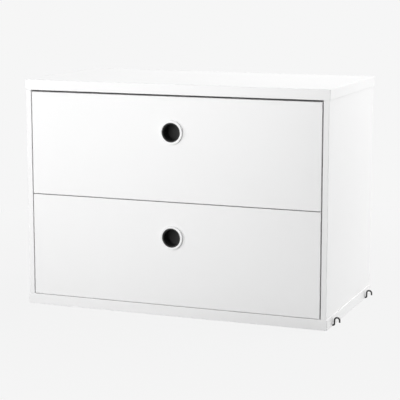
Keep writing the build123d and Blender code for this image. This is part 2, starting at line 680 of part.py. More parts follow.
def pull_cup(pull_z):
    """Black finger cup: a rolled lip with an undercut to pull on, and a flange behind the front."""
    mouth_y = CUP_RECESS - RING_STAND
    mouth_radius = CUP_RADIUS - CUP_LIP
    inner_radius = CUP_RADIUS - CUP_WALL
    under_lip_y = mouth_y + CUP_LIP_LENGTH
    shoulder_y = RING_SPIGOT + CUP_SHOULDER_GAP
    shoulder_radius = PULL_BORE_RADIUS - PULL_PLAY
    flange_end_y = FRONT_THICKNESS + CUP_FLANGE
    rear_y = FRONT_THICKNESS + CUP_REAR_STAND
    floor_y = rear_y - CUP_FLOOR
    rear_radius = inner_radius + CUP_FLOOR
    with BuildPart() as cup:
        with BuildSketch(Plane((0, FRONT_Y, pull_z), x_dir=(1, 0, 0), z_dir=(0, 0, 1))) as section:
            with BuildLine():
                Polyline(
                    (mouth_radius, mouth_y),
                    (CUP_RADIUS, mouth_y),
                    (CUP_RADIUS, shoulder_y),
                    (shoulder_radius, shoulder_y),
                    (shoulder_radius, FRONT_THICKNESS),
                    (CUP_FLANGE_RADIUS, FRONT_THICKNESS),
                    (CUP_FLANGE_RADIUS, flange_end_y),
                    (rear_radius, flange_end_y),
                    (rear_radius, rear_y),
                    (0, rear_y),
                    (0, floor_y),
                    (inner_radius, floor_y),
                    (inner_radius, under_lip_y + CUP_UNDERCUT_LENGTH),
                    (mouth_radius, under_lip_y),
                    close=True,
                )
            make_face()
            lip = section.vertices().group_by(Axis.Y)[0]
            fillet(lip, radius=CUP_LIP / 3)
            floor_corner = section.vertices().sort_by_distance((inner_radius, floor_y))[0]
            fillet(floor_corner, radius=CUP_FLOOR_ROUND)
        revolve(axis=Axis((0, FRONT_Y, pull_z), (0, 1, 0)))
        with Locations(*[plane.location for plane in cup_screw_planes(pull_z)]):
            Hole(CUP_SCREW_RADIUS + HOLE_PLAY, depth=CUP_FLANGE)
    return cup.part


def main():
    os.makedirs("parts", exist_ok=True)

    save(top_panel(), "top_panel")
    save(bottom_panel(), "bottom_panel")
    save(back_panel(), "back_panel")
    save(carcass_dowels(), "carcass_dowels")
    save(hook_screws(), "hook_screws")
    save(cabinet_rail_screws(), "cabinet_rail_screws")
    for hand, side in SIDES.items():
        save(side_panel(side), f"{hand}_side_panel")
        for place, hook_y in HOOK_YS.items():
            save(hook(side, hook_y), f"{place}_{hand}_hook")

    for level, front_z in DRAWERS.items():
        box_z = front_z + BOX_LIFT
        runner_z = box_z + RUNNER_LIFT
        pull_z = front_z + FRONT_HEIGHT - PULL_DROP
        save(drawer_front(front_z, box_z, pull_z), f"{level}_drawer_front")
        save(box_back(box_z), f"{level}_box_back")
        save(box_bottom(box_z), f"{level}_box_bottom")
        save(box_dowels(box_z), f"{level}_box_dowels")
        save(placed(sunk_screw(BOTTOM_SCREW_LENGTH), bottom_screw_planes(box_z)), f"{level}_bottom_screws")
        save(pull_ring(pull_z), f"{level}_pull_ring")
        save(pull_cup(pull_z), f"{level}_pull_cup")
        cup_screw = pan_screw(CUP_SCREW_HEAD_RADIUS, CUP_SCREW_RADIUS, CUP_SCREW_LENGTH)
        save(placed(cup_screw, cup_screw_planes(pull_z)), f"{level}_cup_screws")
        save(drawer_rail_screws(runner_z), f"{level}_drawer_rail_screws")
        for hand, side in SIDES.items():
            save(box_side(side, box_z, runner_z), f"{level}_{hand}_box_side")
            save(cabinet_rail(side, runner_z), f"{level}_{hand}_cabinet_rail")
            save(drawer_rail(side, runner_z), f"{level}_{hand}_drawer_rail")
            save(ball_cage(side, runner_z), f"{level}_{hand}_ball_cage")
            save(balls(side, runner_z), f"{level}_{hand}_balls")


main()
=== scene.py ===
"""Finishes, fasteners, hooks, pulls and studio for a two-drawer storage chest.

The file is laid out as a Blender add-on: sizes and colours are in property groups, and each
kind of piece has its own operator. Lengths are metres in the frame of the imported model: +Z is
up, the drawers open towards -Y, and left and right are as seen from the front.
"""

import json
import math

import bmesh
import bpy
from bpy.props import FloatProperty, FloatVectorProperty, IntProperty, PointerProperty
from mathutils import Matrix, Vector


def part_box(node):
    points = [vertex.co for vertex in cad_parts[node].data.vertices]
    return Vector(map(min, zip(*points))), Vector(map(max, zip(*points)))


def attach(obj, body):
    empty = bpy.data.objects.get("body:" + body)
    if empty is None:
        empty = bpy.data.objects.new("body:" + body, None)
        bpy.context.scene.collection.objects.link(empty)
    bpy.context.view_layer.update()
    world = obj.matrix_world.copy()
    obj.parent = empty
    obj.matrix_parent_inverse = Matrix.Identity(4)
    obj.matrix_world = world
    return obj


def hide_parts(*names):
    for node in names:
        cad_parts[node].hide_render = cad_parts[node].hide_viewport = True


bl_info = {
    "name": "Disc Storage Chest",
    "version": (1, 0, 0),
    "blender": (4, 5, 0),
    "location": "3D View > Sidebar > Chest",
    "description": "Finishes a two-drawer storage chest piece by piece and lights it",
    "category": "Add Mesh",
}

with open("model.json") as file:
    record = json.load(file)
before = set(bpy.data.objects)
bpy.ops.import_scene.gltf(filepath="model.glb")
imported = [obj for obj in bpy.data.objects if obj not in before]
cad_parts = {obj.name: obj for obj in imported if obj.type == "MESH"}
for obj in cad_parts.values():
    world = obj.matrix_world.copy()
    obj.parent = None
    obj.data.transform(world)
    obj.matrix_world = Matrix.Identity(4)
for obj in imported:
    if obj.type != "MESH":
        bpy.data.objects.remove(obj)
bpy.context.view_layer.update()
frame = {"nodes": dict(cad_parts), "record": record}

LEVELS = ("upper", "lower")
HANDS = ("left", "right")
ENDS = ("front", "rear")

# Each lamp's place, target and diameter. Its power is the field of ChestStage with its name.
LAMPS = {
    "key": ((-1.3, -1.3, 0.55), (0.0, -0.1, 0.22), 0.7),
    "front": ((-0.3, -1.45, 0.55), (0.0, -0.1, 0.22), 1.0),
    "fill": ((2.6, 1.9, 1.1), (0.25, 0.0, 0.2), 3.0),
    "top": ((0.4, 0.5, 2.2), (0.0, 0.0, 0.42), 1.6),
}
FLOOR_RADIUS = 30.0
FLOOR_DROP = 0.0005  # keeps the floor just under the chest's underside
CONTACT = 0.002  # rays shorter than this start from what stands on the floor
SHADOW_NEAR, SHADOW_FAR = 0.35, 1.1  # the floor's shadow fades between these distances
FLAG_HALF_SIZE = 0.45
FLAG_PLACE = (0.74, -0.68, 0.36)
FLAG_TURN = math.radians(45)

BREAK = 0.0001  # a bevel that breaks the sharp edge of a screw's head or point
FULL_HEAD = 0.0032  # a head of this radius or more takes a full-size recess
LUG_HOLE_SHARE = 0.3  # a lug's holes lie this share of its width from its middle
BALL_FINENESS = 4  # subdivisions of a ball


# ---- Properties ----
def colour(name, description, default):
    return FloatVectorProperty(
        name=name, description=description, default=default, subtype="COLOR", min=0.0, max=1.0
    )


def length(name, description, default):
    return FloatProperty(
        name=name, description=description, default=default, unit="LENGTH", precision=5, min=0.0
    )


class ChestFinishes(bpy.types.PropertyGroup):
    """Colours of the chest's finishes, as linear values."""

    lacquer: colour("Lacquer", "Satin lacquer of the cabinet and the drawer fronts", (0.86, 0.86, 0.86))
    back: colour("Back", "Painted hardboard of the cabinet's back", (0.78, 0.78, 0.77))
    box: colour("Drawer boxes", "Duller white of the drawer boxes", (0.80, 0.80, 0.79))
    ring: colour("Pull rings", "White plastic of the pull rings", (0.87, 0.87, 0.87))
    cup: colour("Finger cups", "Black plastic of the finger cups", (0.036, 0.036, 0.036))
    wire: colour("Hooks", "Black lacquer on the wire hooks", (0.030, 0.030, 0.031))
    zinc: colour("Runners", "Zinc-plated sheet of the runners", (0.62, 0.63, 0.64))
    cage: colour("Ball cages", "Spring steel of the ball cages", (0.50, 0.49, 0.47))
    screw: colour("Screws", "Zinc-plated screws", (0.60, 0.60, 0.58))
    ball: colour("Balls", "Polished steel balls", (0.74, 0.74, 0.75))
    beech_light: colour("Beech, light", "Light grain of the beech dowels", (0.62, 0.44, 0.28))
    beech_dark: colour("Beech, dark", "Dark grain of the beech dowels", (0.44, 0.28, 0.16))


class ChestPulls(bpy.types.PropertyGroup):
    """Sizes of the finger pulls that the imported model's boxes don't give."""

    bore: length("Bore", "Radius of the ring's bore", 0.0175)
    spigot: length("Spigot", "Radius of the ring's spigot in the drawer front", 0.0192)
    outer_round: length("Outer round", "Rounding of the ring's outer rim", 0.0006)
    inner_round: length("Inner round", "Rounding of the ring's inner rim", 0.0003)
    cup_radius: length("Cup radius", "Outer radius of the cup where the ring holds it", 0.0174)
    mouth: length("Mouth", "Radius of the cup's mouth", 0.015)
    inside: length("Inside", "Inner radius of the cup behind its lip", 0.0163)
    lip: length("Lip", "How deep the lip is before the undercut", 0.0032)
    undercut: length("Undercut", "Depth of the undercut's slope", 0.0016)
    floor: length("Floor", "Thickness of the cup's floor", 0.0016)
    floor_round: length("Floor round", "Rounding where the wall meets the floor", 0.003)
    flange: length("Flange", "Thickness of the flange behind the drawer front", 0.002)
    neck: length("Neck", "Length of the wide neck in front of the flange", 0.0054)
    tube: length("Tube", "Outer radius of the cup behind its flange", 0.0179)
    sides: IntProperty(name="Sides", description="Faces around a pull", default=128, min=24)


class ChestHooks(bpy.types.PropertyGroup):
    """Sizes of the wire hooks and their lugs."""

    wire: length("Wire", "Radius of the wire", 0.0015)
    bend: length("Bend", "Bend radius where the wire turns up", 0.0025)
    spacing: length("Spacing", "Distance between the leg and the tip", 0.0094)
    tip: length("Tip", "Straight length of the tip", 0.0036)
    tip_round: length("Tip round", "Rounding of the wire's end", 0.0005)
    lug: length("Lug", "Length of the lug along the wire", 0.016)
    lug_thickness: length("Lug thickness", "Thickness of the lug", 0.0015)
    lug_round: length("Lug round", "Corner radius of the lug", 0.003)
    hole: length("Hole", "Radius of a lug's screw hole", 0.0016)
    sink: length("Countersink", "Radius of the countersink at the lug's face", 0.0029)
    weld: length("Weld", "Size of a ripple of the weld along the wire", 0.00055)
    weld_step: length("Weld step", "Distance between two ripples of the weld", 0.0009)
    sides: IntProperty(name="Sides", description="Faces around the wire", default=28, min=8)


class ChestFasteners(bpy.types.PropertyGroup):
    """Sizes of the screws and dowels that their boxes don't give."""

    pan_head: length("Pan head", "Height of a pan head", 0.0015)
    pan_shank: length("Pan screw shank", "Radius of a pan-head screw's shank", 0.0016)
    cup_shank: length("Cup screw shank", "Radius of a cup screw's shank", 0.0012)
    sunk_shank: length("Sunk screw shank", "Radius of a countersunk screw's shank", 0.0015)
    point: length("Point", "Length of a screw's point", 0.002)
    pitch: length("Thread pitch", "Distance between two turns of a thread", 0.0012)
    thread: length("Thread depth", "Height of a thread over its core", 0.00035)
    recess: length("Recess", "Width of a cross recess", 0.0031)
    recess_blade: length("Recess blade", "Thickness of one blade of a cross recess", 0.0006)
    recess_depth: length("Recess depth", "Depth of a cross recess", 0.0009)
    flute: length("Flute", "Depth of a dowel's flutes", 0.00022)
    dowel_chamfer: length("Dowel chamfer", "Bevel of a dowel's ends", 0.0008)
    flutes: IntProperty(name="Flutes", description="Flutes around a dowel", default=18, min=6)
    seed: IntProperty(name="Seed", description="Seed of the angles at which screws came to rest", default=7)


class ChestStage(bpy.types.PropertyGroup):
    """Camera, lamps and background."""

    background: FloatProperty(
        name="Background", description="Brightness that the camera sees behind the chest", default=0.9216
    )
    surround: FloatProperty(
        name="Surround", description="Soft light from all around", default=0.45, min=0.0
    )
    floor: FloatProperty(name="Floor", description="How pale the floor is", default=0.50, min=0.0, max=1.0)
    shadow: FloatProperty(
        name="Shadow", description="How much of the floor's shadow shows", default=0.05, subtype="FACTOR"
    )
    key: FloatProperty(name="Key lamp", description="Lamp at the left", default=5.6, unit="POWER")
    front: FloatProperty(name="Front lamp", description="Lamp in front", default=10.0, unit="POWER")
    fill: FloatProperty(name="Fill lamp", description="Lamp behind at the right", default=84.0, unit="POWER")
    top: FloatProperty(name="Top lamp", description="Lamp above", default=19.5, unit="POWER")
    camera_place: FloatVectorProperty(
        name="Camera",
        description="Where the camera stands",
        default=(0.9495, -2.4646, 0.6337),
        unit="LENGTH",
    )
    camera_turn: FloatProperty(
        name="Turn", description="Camera's turn to the left", default=math.radians(21.15), subtype="ANGLE"
    )
    camera_pitch: FloatProperty(
        name="Pitch",
        description="How far the camera looks down",
        default=math.radians(9.54),
        subtype="ANGLE",
    )
    lens: FloatProperty(name="Lens", description="Focal length", default=127.95, unit="CAMERA")


GROUPS = {
    "chest_finishes": ChestFinishes,
    "chest_pulls": ChestPulls,
    "chest_hooks": ChestHooks,
    "chest_fasteners": ChestFasteners,
    "chest_stage": ChestStage,
}


# ---- Node helpers, for materials and geometry alike ----
def add_node(tree, kind, inputs=None, **settings):
    """One node. An input is a plain value, or the socket that feeds it."""
    made = tree.nodes.new(kind)
    for name, value in settings.items():
        setattr(made, name, value)
    for name, value in (inputs or {}).items():
        feed(tree, made.inputs[name], value)
    return made


def feed(tree, socket, value):
    """Links a socket to what feeds it, or sets its own value."""
    if isinstance(value, bpy.types.NodeSocket):
        tree.links.new(value, socket)
    else:
        socket.default_value = value


def maths(tree, operation, first, second):
    """The result of one math node on two values or sockets."""
    made = add_node(tree, "ShaderNodeMath", operation=operation)
    feed(tree, made.inputs[0], first)
    feed(tree, made.inputs[1], second)
    return made.outputs[0]


def tint(rgb, factor=1.0):
    """A colour with alpha, made lighter or darker by a factor."""
    return (rgb[0] * factor, rgb[1] * factor, rgb[2] * factor, 1.0)


# ---- Material helpers ----
def new_finish(name, constants=None):
    """A material with one principled shader, and its constant values on the shader's sockets."""
    material = bpy.data.materials.new(name)
    material.use_nodes = True
    tree = material.node_tree
    tree.nodes.clear()
    shader = add_node(tree, "ShaderNodeBsdfPrincipled")
    output = add_node(tree, "ShaderNodeOutputMaterial")
    tree.links.new(shader.outputs["BSDF"], output.inputs["Surface"])
    for label, value in (constants or {}).items():
        shader.inputs[label].default_value = value
    return material, tree, shader


def surface_grain(tree, stretch, detail=3.0, roughness=0.5):
    """Noise in the object's own coordinates; stretch is its frequency along X, Y and Z."""
    place = add_node(tree, "ShaderNodeTexCoord")
    mapping = add_node(tree, "ShaderNodeMapping", {"Vector": place.outputs["Object"], "Scale": stretch})
    noise = add_node(
        tree,
        "ShaderNodeTexNoise",
        {"Vector": mapping.outputs["Vector"], "Scale": 1.0, "Detail": detail, "Roughness": roughness},
    )
    return noise.outputs["Fac"]


def spread_out(tree, factor, low, high, start=0.3, end=0.7):
    """Remaps a noise's middle range to low..high."""
    remap = add_node(
        tree,
        "ShaderNodeMapRange",
        {"Value": factor, "From Min": start, "From Max": end, "To Min": low, "To Max": high},
    )
    return remap.outputs["Result"]


def blend_colours(tree, factor, low, high):
    """Mixes two colours: low where the factor is 0, high where it is 1."""
    mix = add_node(tree, "ShaderNodeMix", data_type="RGBA")
    feed(tree, mix.inputs[0], factor)
    feed(tree, mix.inputs[6], low)
    feed(tree, mix.inputs[7], high)
    return mix.outputs[2]


def roughen(tree, shader, height, depth, strength=1.0):
    """Bumps a surface by a height socket; depth is the relief in metres."""
    bump = add_node(
        tree, "ShaderNodeBump", {"Height": height, "Distance": depth, "Strength": strength}
    )
    tree.links.new(bump.outputs["Normal"], shader.inputs["Normal"])


# ---- Materials ----
def lacquer_finish(rgb):
    """Sprayed satin lacquer: a faint orange peel, slow drifts of tone and a few settled specks."""
    material, tree, shader = new_finish("satin_white_lacquer", {"Coat Weight": 0.12, "Coat Roughness": 0.22})
    drift = spread_out(tree, surface_grain(tree, (3.0, 3.0, 3.0)), 0.0, 1.0)
    peel = surface_grain(tree, (420.0, 420.0, 420.0), detail=2.0)
    specks = spread_out(tree, surface_grain(tree, (900.0, 900.0, 900.0), detail=0.0), 0.0, 1.0, 0.80, 0.84)
    body = blend_colours(tree, drift, tint(rgb, 0.988), tint(rgb))
    feed(tree, shader.inputs["Base Color"], blend_colours(tree, specks, body, tint(rgb, 0.93)))
    feed(tree, shader.inputs["Roughness"], spread_out(tree, peel, 0.36, 0.44))
    roughen(tree, shader, peel, 0.00004, 0.35)
    return material


def hardboard_finish(rgb):
    """Thin painted hardboard, with the press felt's texture under the paint."""
    material, tree, shader = new_finish("painted_hardboard", {"Specular IOR Level": 0.35})
    felt = surface_grain(tree, (1100.0, 1100.0, 1100.0), detail=4.0, roughness=0.65)
    cloud = spread_out(tree, surface_grain(tree, (9.0, 9.0, 9.0)), 0.0, 1.0)
    feed(tree, shader.inputs["Base Color"], blend_colours(tree, cloud, tint(rgb, 0.96), tint(rgb)))
    feed(tree, shader.inputs["Roughness"], spread_out(tree, felt, 0.55, 0.7))
    roughen(tree, shader, felt, 0.00012, 0.5)
    return material


def box_finish(rgb):
    """White foil on the drawer boxes, pressed with a fine wood pore that runs front to back."""
    material, tree, shader = new_finish("white_pore_foil", {"Specular IOR Level": 0.4})
    pores = surface_grain(tree, (1500.0, 26.0, 1500.0), detail=3.0, roughness=0.6)
    veins = surface_grain(tree, (170.0, 5.0, 170.0), detail=2.0)
    body = blend_colours(tree, spread_out(tree, veins, 0.0, 1.0), tint(rgb, 0.965), tint(rgb))
    feed(tree, shader.inputs["Base Color"], body)
    feed(tree, shader.inputs["Roughness"], spread_out(tree, pores, 0.42, 0.56))
    roughen(tree, shader, pores, 0.00008, 0.4)
    return material


def ring_finish(rgb):
    """Moulded white plastic with a satin gloss."""
    material, tree, shader = new_finish("white_moulded_plastic", {"IOR": 1.49})
    flow = surface_grain(tree, (160.0, 160.0, 160.0), detail=2.0)
    feed(tree, shader.inputs["Base Color"], blend_colours(tree, flow, tint(rgb, 0.985), tint(rgb)))
    feed(tree, shader.inputs["Roughness"], spread_out(tree, flow, 0.24, 0.32))
    roughen(tree, shader, flow, 0.00003, 0.3)
    return material


def cup_finish(rgb):
    """Black plastic with a spark-eroded mould texture."""
    material, tree, shader = new_finish("black_textured_plastic", {"Specular IOR Level": 0.22})
    place = add_node(tree, "ShaderNodeTexCoord")
    cells = add_node(tree, "ShaderNodeTexVoronoi", {"Vector": place.outputs["Object"], "Scale": 1900.0})
    dust = surface_grain(tree, (260.0, 260.0, 260.0), detail=4.0)
    feed(tree, shader.inputs["Base Color"], blend_colours(tree, dust, tint(rgb, 0.8), tint(rgb, 1.25)))
    feed(tree, shader.inputs["Roughness"], spread_out(tree, dust, 0.58, 0.72))
    roughen(tree, shader, cells.outputs["Distance"], 0.00008, 0.45)
    return material


def wire_finish(rgb):
    """Stove lacquer on wire, thinner and brighter in patches."""
    material, tree, shader = new_finish("black_stoved_lacquer")
    patches = surface_grain(tree, (320.0, 320.0, 320.0), detail=3.0)
    feed(tree, shader.inputs["Base Color"], blend_colours(tree, patches, tint(rgb, 0.75), tint(rgb, 1.3)))
    feed(tree, shader.inputs["Roughness"], spread_out(tree, patches, 0.30, 0.44))
    roughen(tree, shader, patches, 0.00005, 0.35)
    return material


def rolled_steel_finish(name, rgb, polish):
    """Cold-rolled strip: fine lines along Y, and soft clouds in its plating."""
    material, tree, shader = new_finish(name, {"Metallic": 1.0, "Anisotropic": 0.35})
    lines = surface_grain(tree, (2600.0, 18.0, 2600.0), detail=2.0)
    clouds = spread_out(tree, surface_grain(tree, (70.0, 45.0, 70.0), detail=4.0), 0.0, 1.0)
    feed(tree, shader.inputs["Base Color"], blend_colours(tree, clouds, tint(rgb, 0.86), tint(rgb, 1.06)))
    feed(tree, shader.inputs["Roughness"], spread_out(tree, lines, polish, polish + 0.14))
    roughen(tree, shader, lines, 0.00002, 0.4)
    return material


def screw_finish(rgb):
    """Plated screws, a little uneven from the tumbling."""
    material, tree, shader = new_finish("plated_screw_steel", {"Metallic": 1.0})
    tumble = surface_grain(tree, (700.0, 700.0, 700.0), detail=4.0, roughness=0.6)
    shade = blend_colours(tree, spread_out(tree, tumble, 0.0, 1.0), tint(rgb, 0.8), tint(rgb, 1.05))
    feed(tree, shader.inputs["Base Color"], shade)
    feed(tree, shader.inputs["Roughness"], spread_out(tree, tumble, 0.28, 0.42))
    roughen(tree, shader, tumble, 0.00002, 0.4)
    return material


def ball_finish(rgb):
    """Ground and polished balls under a thin film of grease."""
    material, tree, shader = new_finish("polished_ball_steel", {"Metallic": 1.0, "Coat Weight": 0.25})
    film = surface_grain(tree, (500.0, 500.0, 500.0), detail=3.0)
    feed(tree, shader.inputs["Base Color"], blend_colours(tree, film, tint(rgb, 0.92), tint(rgb)))
    feed(tree, shader.inputs["Roughness"], spread_out(tree, film, 0.06, 0.14))
    return material


def beech_finish(light, dark):
    """Beech, with the short dark flecks that the wood has."""
    material, tree, shader = new_finish("bare_beech", {"Specular IOR Level": 0.3})
    grain = surface_grain(tree, (90.0, 90.0, 70.0), detail=5.0, roughness=0.6)
    flecks = surface_grain(tree, (900.0, 900.0, 260.0), detail=1.0)
    body = blend_colours(tree, spread_out(tree, grain, 0.0, 1.0), tint(dark), tint(light))
    fleck_share = spread_out(tree, flecks, 0.0, 0.55, 0.58, 0.70)
    feed(tree, shader.inputs["Base Color"], blend_colours(tree, fleck_share, body, tint(dark, 0.6)))
    feed(tree, shader.inputs["Roughness"], spread_out(tree, grain, 0.55, 0.68))
    roughen(tree, shader, flecks, 0.00006, 0.4)
    return material


# ---- Pieces ----
def dress(node_names, material):
    """Gives CAD nodes a material, and leaves their meshes as they are."""
    for name in node_names:
        mesh = frame["nodes"][name].data
        mesh.materials.clear()
        mesh.materials.append(material)


def body_of_node(name):
    """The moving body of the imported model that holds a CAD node."""
    for body, nodes in frame["record"]["behaviour"]["bodies"].items():
        if name in nodes:
            return body
    raise ValueError(f"no body holds {name}")


def soften(mesh, sharp_above=math.radians(32)):
    """Smooth shading that breaks at real edges."""
    mesh.polygons.foreach_set("use_smooth", [True] * len(mesh.polygons))
    mesh.set_sharp_from_angle(angle=sharp_above)


def set_piece(name, mesh, material, node):
    """Puts a finished mesh in the scene, in place of the CAD node that it stands for."""
    mesh.name = name
    mesh.materials.clear()
    mesh.materials.append(material)
    soften(mesh)
    piece = bpy.data.objects.new(name, mesh)
    bpy.context.scene.collection.objects.link(piece)
    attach(piece, body_of_node(node))
    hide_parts(node)
    return piece


def mesh_of(shape, name):
    """The mesh of a finished bmesh, which is then freed."""
    mesh = bpy.data.meshes.new(name)
    shape.to_mesh(mesh)
    shape.free()
    return mesh


def lathe(outline, centre, sides):
    """Turns an outline of (radius, y) points round the line through centre along Y."""
    shape = bmesh.new()
    rings = []
    for radius, y in outline:
        if radius == 0:
            rings.append([shape.verts.new((centre.x, y, centre.z))])
            continue
        angles = [2 * math.pi * step / sides for step in range(sides)]
        spots = [(centre.x + radius * math.cos(a), y, centre.z + radius * math.sin(a)) for a in angles]
        rings.append([shape.verts.new(spot) for spot in spots])
    pairs = list(zip(rings, rings[1:]))
    if len(rings[0]) > 1 and len(rings[-1]) > 1:
        pairs.append((rings[-1], rings[0]))
    for first, second in pairs:
        for step in range(sides):
            following = (step + 1) % sides
            corners = [first[step % len(first)], first[following % len(first)]]
            corners += [second[following % len(second)], second[step % len(second)]]
            shape.faces.new(list(dict.fromkeys(corners)))
    bmesh.ops.recalc_face_normals(shape, faces=shape.faces)
    return mesh_of(shape, "lathe")


def rounded(before, corner, after, radius, steps=8):
    """Points of a round that replaces the corner of an outline."""
    before, corner, after = Vector(before), Vector(corner), Vector(after)
    to_before = (before - corner).normalized()
    to_after = (after - corner).normalized()
    half = to_before.angle(to_after) / 2
    reach = radius / math.tan(half)
    middle = corner + (to_before + to_after).normalized() * (radius / math.sin(half))
    start = corner + to_before * reach - middle
    end = corner + to_after * reach - middle
    turn = start.angle_signed(end)
    points = []
    for step in range(steps + 1):
        angle = -turn * step / steps
        cos, sin = math.cos(angle), math.sin(angle)
        points.append(tuple(middle + Vector((start.x * cos - start.y * sin, start.x * sin + start.y * cos))))
    return points


def islands(node):
    """Low and high corners of each separate solid in a CAD node, in a steady order."""
    shape = bmesh.new()
    shape.from_mesh(frame["nodes"][node].data)
    bmesh.ops.remove_doubles(shape, verts=shape.verts, dist=1e-6)
    boxes = []
    seen = set()
    for start in shape.verts:
        if start in seen:
            continue
        seen.add(start)
        group = [start]
        for vert in group:
            for edge in vert.link_edges:
                other = edge.other_vert(vert)
                if other not in seen:
                    seen.add(other)
                    group.append(other)
        low = Vector([min(vert.co[axis] for vert in group) for axis in range(3)])
        high = Vector([max(vert.co[axis] for vert in group) for axis in range(3)])
        boxes.append((low, high))
    shape.free()
    return sorted(boxes, key=lambda box: tuple(round(value, 4) for value in box[0]))


# ---- Geometry Nodes helpers ----
def new_tree(name, sockets):
    """A geometry tree with one input for each (label, kind, default), after the geometry."""
    tree = bpy.data.node_groups.new(name, "GeometryNodeTree")
    tree.interface.new_socket("Geometry", in_out="INPUT", socket_type="NodeSocketGeometry")
    for label, kind, default in sockets:
        socket = tree.interface.new_socket(label, in_out="INPUT", socket_type=kind)
        if default is not None:
            socket.default_value = default
    tree.interface.new_socket("Geometry", in_out="OUTPUT", socket_type="NodeSocketGeometry")
    return tree, add_node(tree, "NodeGroupInput").outputs


def finish_tree(tree, geometry, material):
    """Realizes what the tree made, gives it its material and sends it out."""
    realized = add_node(tree, "GeometryNodeRealizeInstances", {"Geometry": geometry})
    finish = add_node(
        tree, "GeometryNodeSetMaterial", {"Geometry": realized.outputs["Geometry"], "Material": material}
    )
    add_node(tree, "NodeGroupOutput", {"Geometry": finish.outputs["Geometry"]})


def grow(data, tree, values):
    """Runs a tree over a mesh or curve and returns the plain mesh that it makes."""
    carrier = bpy.data.objects.new("carrier", data)
    bpy.context.scene.collection.objects.link(carrier)
    modifier = carrier.modifiers.new(tree.name, "NODES")
    modifier.node_group = tree
    for socket in tree.interface.items_tree:
        if socket.in_out == "INPUT" and socket.name in values:
            modifier[socket.identifier] = values[socket.name]
    depsgraph = bpy.context.evaluated_depsgraph_get()
    mesh = bpy.data.meshes.new_from_object(carrier.evaluated_get(depsgraph), depsgraph=depsgraph)
    bpy.data.objects.remove(carrier)
    if not mesh.polygons:
        raise RuntimeError(f"{tree.name} made no faces")
    return mesh


def spots_mesh(spots):
    """Loose points, each with the direction that what stands on it looks in."""
    mesh = bpy.data.meshes.new("spots")
    mesh.from_pydata([place for place, aim in spots], [], [])
    aims = mesh.attributes.new("aim", "FLOAT_VECTOR", "POINT")
    aims.data.foreach_set("vector", [value for place, aim in spots for value in aim])
    return mesh


def put_on_points(tree, points, instance, seed=None):
    """Instances along each point's aim, and turned at random about it where a seed is given."""
    aim = add_node(tree, "GeometryNodeInputNamedAttribute", {"Name": "aim"}, data_type="FLOAT_VECTOR")
    rotation = add_node(
        tree, "FunctionNodeAlignRotationToVector", {"Vector": aim.outputs["Attribute"]}, axis="Z"
    ).outputs["Rotation"]
    if seed is not None:
        angle = add_node(tree, "FunctionNodeRandomValue", {"Seed": seed}, data_type="FLOAT")
        angle.inputs[3].default_value = 2 * math.pi
        spin = add_node(
            tree, "FunctionNodeAxisAngleToRotation", {"Axis": (0, 0, 1), "Angle": angle.outputs[1]}
        )
        turned = add_node(tree, "FunctionNodeRotateRotation", rotation_space="LOCAL")
        feed(tree, turned.inputs[0], rotation)
        feed(tree, turned.inputs[1], spin.outputs["Rotation"])
        rotation = turned.outputs["Rotation"]
    placed = add_node(
        tree,
        "GeometryNodeInstanceOnPoints",
        {"Points": points, "Instance": instance, "Rotation": rotation},
    )
    return placed.outputs["Instances"]


